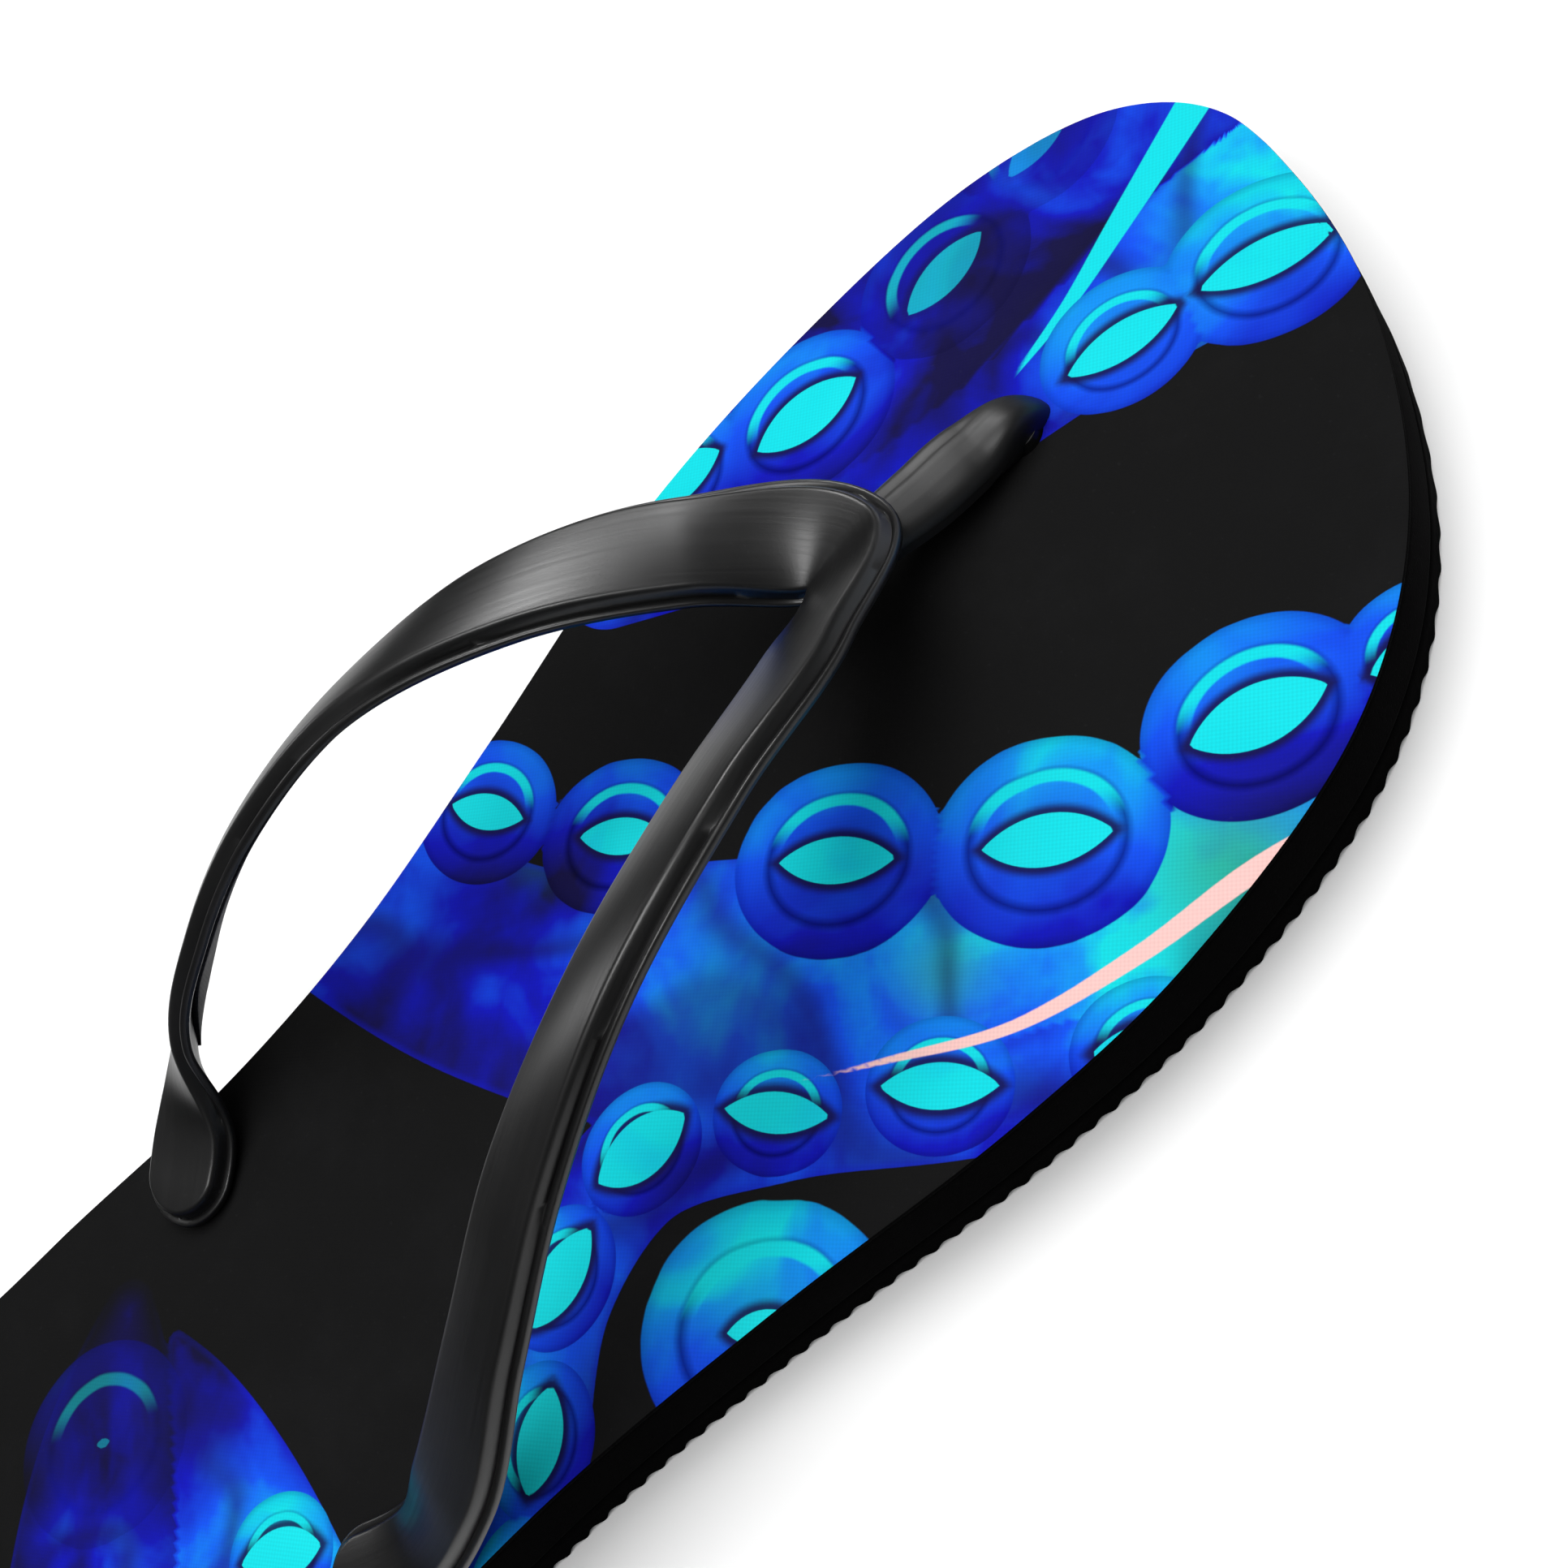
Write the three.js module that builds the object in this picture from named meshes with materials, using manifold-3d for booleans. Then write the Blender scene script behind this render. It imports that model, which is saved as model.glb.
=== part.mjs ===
// Right-foot flip flop: printed cover on a foam footbed on a rubber outsole, with a moulded V strap,
// a toe post and the push-on discs that hold the three stems under the sole.
// Millimetres. +X is the little-toe side, +Y points to the toes, +Z is up, and the ground is z = 0.
import * as THREE from 'three';
import * as BufferGeometryUtils from 'three/addons/utils/BufferGeometryUtils.js';
import Module from 'manifold-3d';

const wasm = await Module();
wasm.setup();

// sole
const soleLength = 274.5;
const soleWidth = 99.5;
const coverThickness = 0.8;
const footbedThickness = 8.2;
const outsoleThickness = 4.3;
const treadPitch = 3.1;
const treadDepth = 1.0;
const treadLand = 0.6;
const flankShare = 0.5;
const flankHeightShare = 0.62;
const outlineSteps = 112;

// the outline's points as shares of the half width and half length, from the heel round the little-toe side
const outlineShares = [
  [-0.10, -1.00], [0.38, -0.93], [0.68, -0.72], [0.75, -0.45], [0.78, -0.17], [0.862, 0.06],
  [0.968, 0.29], [0.997, 0.46], [0.91, 0.67], [0.68, 0.81], [0.25, 0.932], [-0.15, 0.988],
  [-0.45, 1.00], [-0.69, 0.955], [-0.875, 0.84], [-0.975, 0.64], [-0.985, 0.41], [-0.86, 0.15],
  [-0.77, -0.06], [-0.765, -0.25], [-0.86, -0.53], [-0.88, -0.74], [-0.58, -0.945],
];

// clearances
const runningGap = 0.3;
const faceGap = 0.1;
const restGap = 0.3;
const seatGap = 0.3;

// where the strap stands on the sole: the toe hole, and how far the strap is turned towards the big toe
const toeHoleX = -0.1156 * soleWidth;
const toeHoleY = 94;
const strapTurnDegrees = 3.4;

// strap section: a thin flange with a raised panel on it
const strapThickness = 3.6;
const flangeThickness = 1.2;
const flangeShelf = 1.3;
const panelShoulder = 0.9;
const shoulderFoot = 0.2;
const branchSteps = 44;
const tipSteps = 7;
const narrowestShare = 0.12;

// the strap's middle, in line with the toe hole: how far behind it and how high over the footbed (to the
// underside) the notch between the branches and the rounded nose stand, and how straight the nose's edge
// runs over the middle
const notchBack = 30.6;
const notchHeight = 8.7;
const noseBack = 16.0;
const noseHeight = 10.1;
const noseReachMedial = 1.55;
const noseReachLateral = 1.15;
const curlOutShare = 0.5;

// soft strips under the branches
const liningThickness = 0.7;
const liningInset = 2.2;
const liningFirstStep = 8;
const liningLastStep = 39;
const liningTaperSteps = 5;
const liningEndShare = 0.15;

// stations from the middle of the strap to the tip of a foot, measured from the toe hole: out from the
// middle as a share of the sole's width, back from the hole, height of the underside over the footbed,
// width, the outward lean in radians of the big-toe branch and of the little-toe branch, how much
// further out (a share again) and back the little-toe branch stands, and how far the big-toe branch's
// outer edge curls up
const branchStations = [
  [0.0000, 22.0, 11.4, 13.8, 0.00, 0.00, 0.0000, 0.0, 0.0],
  [0.1166, 34.6, 17.9, 14.8, 0.00, -0.40, 0.0000, 0.0, 0.0],
  [0.2050, 51.3, 26.4, 13.2, 0.10, -0.45, 0.0000, 0.0, 0.0],
  [0.2734, 72.0, 29.4, 11.0, 0.55, -0.30, 0.0020, 0.2, 0.0],
  [0.3196, 90.7, 25.8, 10.8, 0.60, -0.05, 0.0060, 1.0, 0.0],
  [0.3518, 106.4, 18.7, 11.4, 0.60, 0.00, 0.0151, 2.0, 0.3],
  [0.3578, 122.6, 8.8, 12.2, 0.70, 0.20, 0.0281, 2.9, 0.5],
  [0.2925, 133.2, 0.9, 12.0, 0.10, 0.00, 0.0623, 5.1, 2.8],
  [0.2281, 142.8, restGap, 11.6, 0.00, 0.00, 0.0683, 6.7, 0.8],
];

// toe post: half width, half depth at the strap and at the footbed, and where its upper end stands
const postHalfWidth = 3.2;
const postHalfDepth = 3.5;
const postRootHalfDepth = 4.6;
const postTopBack = 21;
const postTopHeight = 8.6;
const postSteps = 18;
const postSides = 16;
const rootShare = 0.31;
const postKneeBackShare = 0.62;
const postKneeHeightShare = 0.7;
const stemTopInPost = 1.8;

// stems through the sole, their heads and the discs pushed over them
const stemRadius = 3.0;
const headRadius = 4.4;
const headThickness = 1.0;
const headLift = 0.5;
const sideHoleBackFromTip = 5.6;
const toeDiscRadius = 9.0;
const sideDiscRadius = 6.6;
const discThickness = 1.6;
const recessDepth = 3.3;
const overcut = 1.0;
const stemSides = 32;
const discSides = 40;
const holeSteps = 16;

const soleTop = outsoleThickness + footbedThickness + coverThickness;
const strapTurn = THREE.MathUtils.degToRad(strapTurnDegrees);

function material(color, roughness, metalness = 0) {
  return new THREE.MeshStandardMaterial({ color, roughness, metalness });
}

// ---- solids ----

function toSolid(geometry) {
  const bare = geometry.clone();
  bare.deleteAttribute('normal');
  bare.deleteAttribute('uv');
  const merged = BufferGeometryUtils.mergeVertices(bare, 1e-5);
  return new wasm.Manifold(new wasm.Mesh({
    numProp: 3,
    vertProperties: Float32Array.from(merged.attributes.position.array),
    triVerts: Uint32Array.from(merged.index.array),
  }));
}

function fromSolid(solid) {
  const mesh = solid.getMesh();
  const geometry = new THREE.BufferGeometry();
  geometry.setAttribute('position', new THREE.BufferAttribute(Float32Array.from(mesh.vertProperties), 3));
  geometry.setIndex(Array.from(mesh.triVerts));
  return geometry;
}

function joined(geometries) {
  return geometries.map(toSolid).reduce((sum, solid) => sum.add(solid));
}

function cut(geometry, cutters) {
  return cutters.map(toSolid).reduce((rest, cutter) => rest.subtract(cutter), toSolid(geometry));
}

function signedVolume(points, triangles) {
  let sum = 0;
  for (let i = 0; i < triangles.length; i += 3) {
    const [a, b, c] = [0, 1, 2].map((k) => points[triangles[i + k]]);
    sum += a.dot(b.clone().cross(c)) / 6;
  }
  return sum;
}

// A closed skin through rings of points, each ring with the same number of points, with both ends capped.
function loft(rings) {
  const count = rings[0].length;
  const points = rings.flat();
  const triangles = [];
  for (let i = 0; i < rings.length - 1; i += 1) {
    for (let j = 0; j < count; j += 1) {
      const next = (j + 1) % count;
      const a = i * count + j;
      const b = i * count + next;
      triangles.push(a, b, b + count, a, b + count, a + count);
    }
  }
  const last = (rings.length - 1) * count;
  for (let j = 1; j < count - 1; j += 1) {
    triangles.push(0, j + 1, j, last, last + j, last + j + 1);
  }
  if (signedVolume(points, triangles) < 0) triangles.reverse();
  const geometry = new THREE.BufferGeometry().setFromPoints(points);
  geometry.setIndex(triangles);
  return geometry;
}

// An upright cylinder from one height to another.
function post(x, y, bottom, top, radius, sides = stemSides) {
  const geometry = new THREE.CylinderGeometry(radius, radius, top - bottom, sides);
  geometry.rotateX(Math.PI / 2);
  return geometry.translate(x, y, (bottom + top) / 2);
}

// ---- sole ----

function outlinePoints() {
  const corners = outlineShares.map(([x, y]) => (
    new THREE.Vector3((x * soleWidth) / 2, (y * soleLength) / 2, 0)));
  const curve = new THREE.CatmullRomCurve3(corners, true, 'centripetal');
  return curve.getSpacedPoints(outlineSteps).slice(0, outlineSteps);
}

function outlineShape() {
  return new THREE.Shape(outlinePoints().map((p) => new THREE.Vector2(p.x, p.y)));
}

// Strap frame to sole frame, in plan.
function strapToSole(x, y) {
  const turned = new THREE.Vector2(x, y).rotateAround(new THREE.Vector2(0, 0), strapTurn);
  return turned.add(new THREE.Vector2(toeHoleX, toeHoleY));
}

// A station's middle in the strap frame.
function stationCentre(side, [out, back, under, , , , outMore, backMore]) {
  const more = side > 0 ? 1 : 0;
  const height = under + strapThickness / 2;
  return new THREE.Vector3(side * soleWidth * (out + outMore * more), -back - backMore * more, height);
}

// The side stems stand on the strap foot's centre line, a set way back from its tip.
function sideStemPlace(side) {
  const [root, tip] = branchStations.slice(-2).map((station) => {
    const centre = stationCentre(side, station);
    return new THREE.Vector2(centre.x, centre.y);
  });
  const towardsRoot = root.clone().sub(tip).setLength(sideHoleBackFromTip);
  return tip.clone().add(towardsRoot);
}

function stemPlaces() {
  const places = [new THREE.Vector2(0, 0), sideStemPlace(-1), sideStemPlace(1)];
  return places.map((p) => strapToSole(p.x, p.y));
}

function soleLayer(bottom, top, holeRadius) {
  const shape = outlineShape();
  for (const place of stemPlaces()) {
    const hole = new THREE.Path();
    hole.absarc(place.x, place.y, holeRadius, 0, Math.PI * 2, true);
    shape.holes.push(hole);
  }
  const settings = { depth: top - bottom, bevelEnabled: false, curveSegments: holeSteps };
  const geometry = new THREE.ExtrudeGeometry(shape, settings);
  return geometry.translate(0, 0, bottom);
}

// One ridge of the tread seen from the side: a flat land on the ground, a rounded flank and a valley.
function ridgeProfile(y) {
  const land = treadLand / 2;
  const half = treadPitch / 2;
  const flank = land + (half - land) * flankShare;
  return [
    [y - half, treadDepth],
    [y - flank, treadDepth * flankHeightShare],
    [y - land, 0],
    [y + land, 0],
    [y + flank, treadDepth * flankHeightShare],
  ];
}

function treadSlab() {
  const slabWidth = soleWidth + 2 * treadPitch;
  const ridges = Math.ceil(soleLength / treadPitch / 2) + 1;
  const profile = [];
  for (let k = -ridges; k <= ridges; k += 1) profile.push(...ridgeProfile(k * treadPitch));
  const end = (ridges + 0.5) * treadPitch;
  profile.push([end, treadDepth], [end, outsoleThickness], [-end, outsoleThickness]);
  const shape = new THREE.Shape(profile.map(([y, z]) => new THREE.Vector2(y, z)));
  const geometry = new THREE.ExtrudeGeometry(shape, { depth: slabWidth, bevelEnabled: false });
  const axes = new THREE.Matrix4().makeBasis(
    new THREE.Vector3(0, 1, 0),
    new THREE.Vector3(0, 0, 1),
    new THREE.Vector3(1, 0, 0),
  );
  return geometry.applyMatrix4(axes).translate(-slabWidth / 2, 0, 0);
}

function outsole() {
  const settings = { depth: outsoleThickness + 2 * overcut, bevelEnabled: false };
  const prism = new THREE.ExtrudeGeometry(outlineShape(), settings).translate(0, 0, -overcut);
  const blank = toSolid(treadSlab()).intersect(toSolid(prism));
  const cutters = stemPlaces().flatMap((place, i) => {
    const recessRadius = (i === 0 ? toeDiscRadius : sideDiscRadius) + runningGap;
    return [
      post(place.x, place.y, -overcut, recessDepth, recessRadius, discSides),
      post(place.x, place.y, -overcut, outsoleThickness + overcut, stemRadius + runningGap),
    ];
  });
  return fromSolid(cutters.map(toSolid).reduce((rest, cutter) => rest.subtract(cutter), blank));
}

// ---- strap ----

// Slopes at uneven knots: the two neighbouring slopes, each weighted by the other's span.
function knotSlopes(knots, points) {
  const chords = points.slice(1).map((point, k) => (
    point.clone().sub(points[k]).divideScalar(knots[k + 1] - knots[k])));
  const inside = chords.slice(1).map((after, k) => {
    const before = chords[k];
    const spanBefore = knots[k + 1] - knots[k];
    const spanAfter = knots[k + 2] - knots[k + 1];
    const sum = before.clone().multiplyScalar(spanAfter).addScaledVector(after, spanBefore);
    return sum.divideScalar(spanBefore + spanAfter);
  });
  const endSlope = (chord, neighbour) => chord.clone().multiplyScalar(1.5).addScaledVector(neighbour, -0.5);
  return [endSlope(chords[0], inside[0]), ...inside, endSlope(chords.at(-1), inside.at(-1))];
}

// The cubic curve through the knots' points with the given slopes.
function curvePoint({ knots, points, slopes }, t) {
  let k = 0;
  while (k < knots.length - 2 && t > knots[k + 1]) k += 1;
  const span = knots[k + 1] - knots[k];
  const s = (t - knots[k]) / span;
  return points[k].clone().multiplyScalar(2 * s ** 3 - 3 * s ** 2 + 1)
    .addScaledVector(slopes[k], (s ** 3 - 2 * s ** 2 + s) * span)
    .addScaledVector(points[k + 1], 3 * s ** 2 - 2 * s ** 3)
    .addScaledVector(slopes[k + 1], (s ** 3 - s ** 2) * span);
}

// The inner and outer edge of one branch as curves over the distance down its middle. The outer edge runs
// straight over the strap's middle and the two branches' inner edges meet in a notch.
function branchEdges(side) {
  const centres = branchStations.map((station) => stationCentre(side, station));
  const knots = centres.reduce((sums, point, k) => (
    k === 0 ? [0] : [...sums, sums[k - 1] + point.distanceTo(centres[k - 1])]), []);
  const slopes = knotSlopes(knots, centres);
  const inner = [];
  const outer = [];
  branchStations.forEach(([, , , width, medialLean, lateralLean, , , curl], k) => {
    const lean = side < 0 ? medialLean : lateralLean;
    const along = slopes[k].clone().normalize();
    const up = new THREE.Vector3(0, 0, 1).addScaledVector(along, -along.z).normalize();
    const outward = new THREE.Vector3().crossVectors(along, up);
    if (outward.x * side < 0) outward.negate();
    const across = outward.multiplyScalar(Math.cos(lean)).addScaledVector(up, -Math.sin(lean));
    inner.push(centres[k].clone().addScaledVector(across, -width / 2));
    const rise = side < 0 ? curl : 0;
    const outerEdge = centres[k].clone().addScaledVector(across, width / 2 + rise * curlOutShare);
    outer.push(outerEdge.addScaledVector(up, rise));
  });
  inner[0].set(0, -notchBack, notchHeight + strapThickness / 2);
  outer[0].set(0, -noseBack, noseHeight + strapThickness / 2);
  const innerSlopes = knotSlopes(knots, inner);
  const outerSlopes = knotSlopes(knots, outer);
  innerSlopes[0].z = 0;
  outerSlopes[0].set(side * (side > 0 ? noseReachLateral : noseReachMedial), 0, 0);
  return {
    length: knots.at(-1),
    inner: { knots, points: inner, slopes: innerSlopes },
    outer: { knots, points: outer, slopes: outerSlopes },
  };
}

// Frame at a distance down the branch: the middle, the direction across the band towards the outside, the
// upper face's normal and the width.
function branchFrame(edges, side, distance) {
  const middle = (t) => curvePoint(edges.inner, t).add(curvePoint(edges.outer, t)).multiplyScalar(0.5);
  const span = curvePoint(edges.outer, distance).sub(curvePoint(edges.inner, distance));
  const across = span.clone().normalize();
  const along = distance === 0
    ? new THREE.Vector3(side, 0, 0)
    : middle(distance).sub(middle(Math.max(distance - 0.5, 0))).normalize();
  const normal = new THREE.Vector3().crossVectors(along, across).multiplyScalar(side).normalize();
  return { point: middle(distance), across, normal, width: span.length() };
}

// Distances of the rings down a branch: even, then drawing together over the half circle of the foot's end.
function ringDistances(length) {
  const tipRadius = branchStations.at(-1)[3] / 2;
  const straight = length - tipRadius;
  const even = Array.from({ length: branchSteps }, (_, k) => (k / branchSteps) * straight);
  const tip = Array.from({ length: tipSteps + 1 }, (_, k) => (
    straight + tipRadius * Math.sin(((k / tipSteps) * Math.PI) / 2)));
  return even.concat(tip);
}

// The share of the full width at a distance: 1, then the half circle.
function widthShare(length, distance) {
  const tipRadius = branchStations.at(-1)[3] / 2;
  const past = Math.max(distance - (length - tipRadius), 0) / tipRadius;
  return Math.max(Math.sqrt(Math.max(1 - past * past, 0)), narrowestShare);
}

function bandSection(width, scale) {
  const half = (width / 2) * scale;
  const low = -strapThickness / 2;
  const shelf = low + flangeThickness;
  const panel = half - flangeShelf * scale;
  const crown = panel - panelShoulder * scale;
  const high = strapThickness / 2;
  return [
    [-half, low], [half, low], [half, shelf], [panel, shelf + shoulderFoot], [crown, high],
    [-crown, high], [-panel, shelf + shoulderFoot], [-half, shelf],
  ];
}

function sweptRing(frame, section) {
  return section.map(([across, out]) => frame.point.clone()
    .addScaledVector(frame.across, across)
    .addScaledVector(frame.normal, out));
}

// The rings of one branch from the strap's middle to the tip of the foot.
function branchRings(side) {
  const edges = branchEdges(side);
  return ringDistances(edges.length).map((distance) => {
    const frame = branchFrame(edges, side, distance);
    return sweptRing(frame, bandSection(frame.width, widthShare(edges.length, distance)));
  });
}

// Both branches are one band, from the tip of one foot over the nose to the tip of the other.
function strapBand() {
  const medial = branchRings(-1);
  const lateral = branchRings(1);
  return loft([...medial.reverse(), ...lateral.slice(1)]);
}

// A thin strip let into the underside of one branch, pointed at its lower end. The seat it lies in is the
// same loft grown by a gap all round.
function branchLining(side, gap = 0) {
  const edges = branchEdges(side);
  const distances = ringDistances(edges.length).slice(liningFirstStep, liningLastStep + 1);
  const rings = distances.map((distance, i) => {
    const frame = branchFrame(edges, side, distance);
    const stepsFromEnd = Math.min(i, distances.length - 1 - i);
    const taper = Math.min(1, stepsFromEnd / liningTaperSteps + liningEndShare);
    const half = (frame.width / 2 - liningInset) * taper + gap;
    const high = -strapThickness / 2 + liningThickness / 2 + gap;
    const low = high - liningThickness - gap * 3;
    return sweptRing(frame, [[-half, low], [half, low], [half, high], [-half, high]]);
  });
  return loft(rings);
}

// A stem from inside its piece down to the head under the sole, in the strap frame.
function stem(x, y, top) {
  const ground = -soleTop;
  return [
    post(x, y, ground + headLift, top, stemRadius),
    post(x, y, ground + headLift, ground + headLift + headThickness, headRadius),
  ];
}

function toePostPath() {
  return new THREE.CatmullRomCurve3([
    new THREE.Vector3(0, 0.9, -1.2),
    new THREE.Vector3(0, -0.4, 1.2),
    new THREE.Vector3(0, -5.6, 3.9),
    new THREE.Vector3(0, -postTopBack * postKneeBackShare, postTopHeight * postKneeHeightShare),
    new THREE.Vector3(0, -postTopBack, postTopHeight),
  ], false, 'centripetal');
}

function toePostBody(extra) {
  const path = toePostPath();
  const rings = [];
  for (let i = 0; i <= postSteps; i += 1) {
    const t = i / postSteps;
    const point = path.getPoint(t);
    const along = path.getTangent(t);
    const across = new THREE.Vector3(1, 0, 0);
    const normal = new THREE.Vector3().crossVectors(across, along);
    const root = Math.max(0, 1 - t / rootShare);
    const depth = postHalfDepth + (postRootHalfDepth - postHalfDepth) * root + extra;
    const half = postHalfWidth + extra;
    const ring = [];
    for (let k = 0; k < postSides; k += 1) {
      const angle = (k / postSides) * Math.PI * 2;
      ring.push(point.clone()
        .addScaledVector(across, half * Math.cos(angle))
        .addScaledVector(normal, depth * Math.sin(angle)));
    }
    rings.push(ring);
  }
  return loft(rings);
}

// The post above the footbed, cut off flat where it meets the cover, on its own stem.
function toePost() {
  const belowCover = post(0, 0, -soleTop, restGap, postTopBack);
  const above = cut(toePostBody(0), [belowCover]);
  const stemParts = joined(stem(0, 0, stemTopInPost));
  return fromSolid(above.add(stemParts));
}

function strap() {
  const sides = [-1, 1];
  const bodies = [strapBand()];
  for (const side of sides) {
    const place = sideStemPlace(side);
    bodies.push(...stem(place.x, place.y, restGap + strapThickness / 2));
  }
  const seats = sides.map((side) => branchLining(side, seatGap));
  const cutters = [toePostBody(runningGap), ...seats];
  return fromSolid(cutters.map(toSolid).reduce((rest, cutter) => rest.subtract(cutter), joined(bodies)));
}

// ---- discs under the sole ----

function anchorDisc(radius) {
  const bore = stemRadius + runningGap / 2;
  const profile = [
    new THREE.Vector2(bore, 0),
    new THREE.Vector2(radius, 0),
    new THREE.Vector2(radius, discThickness),
    new THREE.Vector2(bore, discThickness),
    new THREE.Vector2(bore, 0),
  ];
  return new THREE.LatheGeometry(profile, discSides).rotateX(Math.PI / 2);
}

// ---- assembly ----

const part = new THREE.Group();
const upper = new THREE.Group();
upper.position.set(toeHoleX, toeHoleY, soleTop);
upper.rotation.z = strapTurn;
part.add(upper);

function place(parent, name, geometry, look) {
  const mesh = new THREE.Mesh(geometry, look);
  mesh.name = name;
  parent.add(mesh);
  return mesh;
}

const holeRadius = stemRadius + runningGap;
const footbedTop = outsoleThickness + footbedThickness;
const rubber = material('#0b0b0c', 0.8);
const foam = material('#0d0d0e', 0.9);
const moulded = material('#151516', 0.35);
const lining = material('#0a0a0a', 0.85);
const disc = material('#1a1a1b', 0.5);

place(part, 'outsole', outsole(), rubber);
place(part, 'footbed', soleLayer(outsoleThickness, footbedTop, holeRadius), foam);
place(part, 'printed_top_cover', soleLayer(footbedTop, soleTop, holeRadius), material('#1a1f6e', 0.7));
place(upper, 'strap', strap(), moulded);
place(upper, 'toe_post', toePost(), moulded);
place(upper, 'medial_strap_lining', branchLining(-1), lining);
place(upper, 'lateral_strap_lining', branchLining(1), lining);

const discNames = ['toe_anchor_disc', 'medial_anchor_disc', 'lateral_anchor_disc'];
const discBottom = headLift + headThickness + faceGap;
stemPlaces().forEach((spot, i) => {
  const mesh = place(part, discNames[i], anchorDisc(i === 0 ? toeDiscRadius : sideDiscRadius), disc);
  mesh.position.set(spot.x, spot.y, discBottom);
});

export default part;
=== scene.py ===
import math

import bpy
import numpy as np
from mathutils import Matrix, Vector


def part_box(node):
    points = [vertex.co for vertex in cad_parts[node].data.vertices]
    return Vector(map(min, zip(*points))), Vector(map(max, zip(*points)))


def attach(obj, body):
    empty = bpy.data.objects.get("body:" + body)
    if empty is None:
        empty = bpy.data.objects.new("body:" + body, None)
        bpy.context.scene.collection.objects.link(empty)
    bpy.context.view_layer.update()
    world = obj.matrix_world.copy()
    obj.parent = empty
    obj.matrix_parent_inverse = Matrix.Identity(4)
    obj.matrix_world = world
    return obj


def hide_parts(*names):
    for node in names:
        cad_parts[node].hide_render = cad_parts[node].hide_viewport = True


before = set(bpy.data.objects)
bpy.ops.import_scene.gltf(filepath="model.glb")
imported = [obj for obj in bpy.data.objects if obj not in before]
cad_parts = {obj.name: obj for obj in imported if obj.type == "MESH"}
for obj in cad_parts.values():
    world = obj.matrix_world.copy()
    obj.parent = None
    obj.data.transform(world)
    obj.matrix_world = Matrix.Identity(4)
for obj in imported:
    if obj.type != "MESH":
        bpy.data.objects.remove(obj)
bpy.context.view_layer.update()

# Right-foot flip flop. Everything is in metres in the part's frame; shapes are worked out in millimetres
# and scaled by mm. +X is the little-toe side, +Y the toes, +Z up.

mm = 0.001


def boxMm(node):  # lowest and highest corner of a CAD node, in millimetres
    low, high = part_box(node)
    return np.array(low) / mm, np.array(high) / mm


coverLow, coverHigh = boxMm("printed_top_cover")
footbedLow, footbedHigh = boxMm("footbed")
outsoleLow, outsoleHigh = boxMm("outsole")
discNames = ["toe_anchor_disc", "medial_anchor_disc", "lateral_anchor_disc"]
discBoxes = [boxMm(name) for name in discNames]
stemPlaces = np.array([(low + high)[:2] / 2 for low, high in discBoxes])
soleTop = coverHigh[2]
toeHole = stemPlaces[0]


# camera, floor and lights

studio = {
    "cameraPlace": (0.13354, 0.07281, 0.19143),
    "cameraTurn": (23.0716, 30.9445, 50.7135),
    "lens": 44.72,
    "floorSize": 2.4,
    "floorShade": 0.97,
    "skyTop": 0.24,
    "skyLow": 0.002,
    "backdrop": 1.05,
}
# each softbox: azimuth and elevation it stands at, distance, size, power in watts, and whether it shows
# only in shine or only in shade
softboxes = {
    "windowCard": (141, 48, 1.1, 0.36, 5.6, "shine"),
    "topCard": (32, 74, 1.1, 0.44, 6.0, "shine"),
    "heelCard": (-152, 32, 1.0, 0.26, 1.2, "shine"),
    "windowLight": (125, 58, 1.3, 0.9, 6.3, "shade"),
    "overheadFill": (0, 88, 1.5, 2.4, 27.5, "shade"),
}


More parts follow.
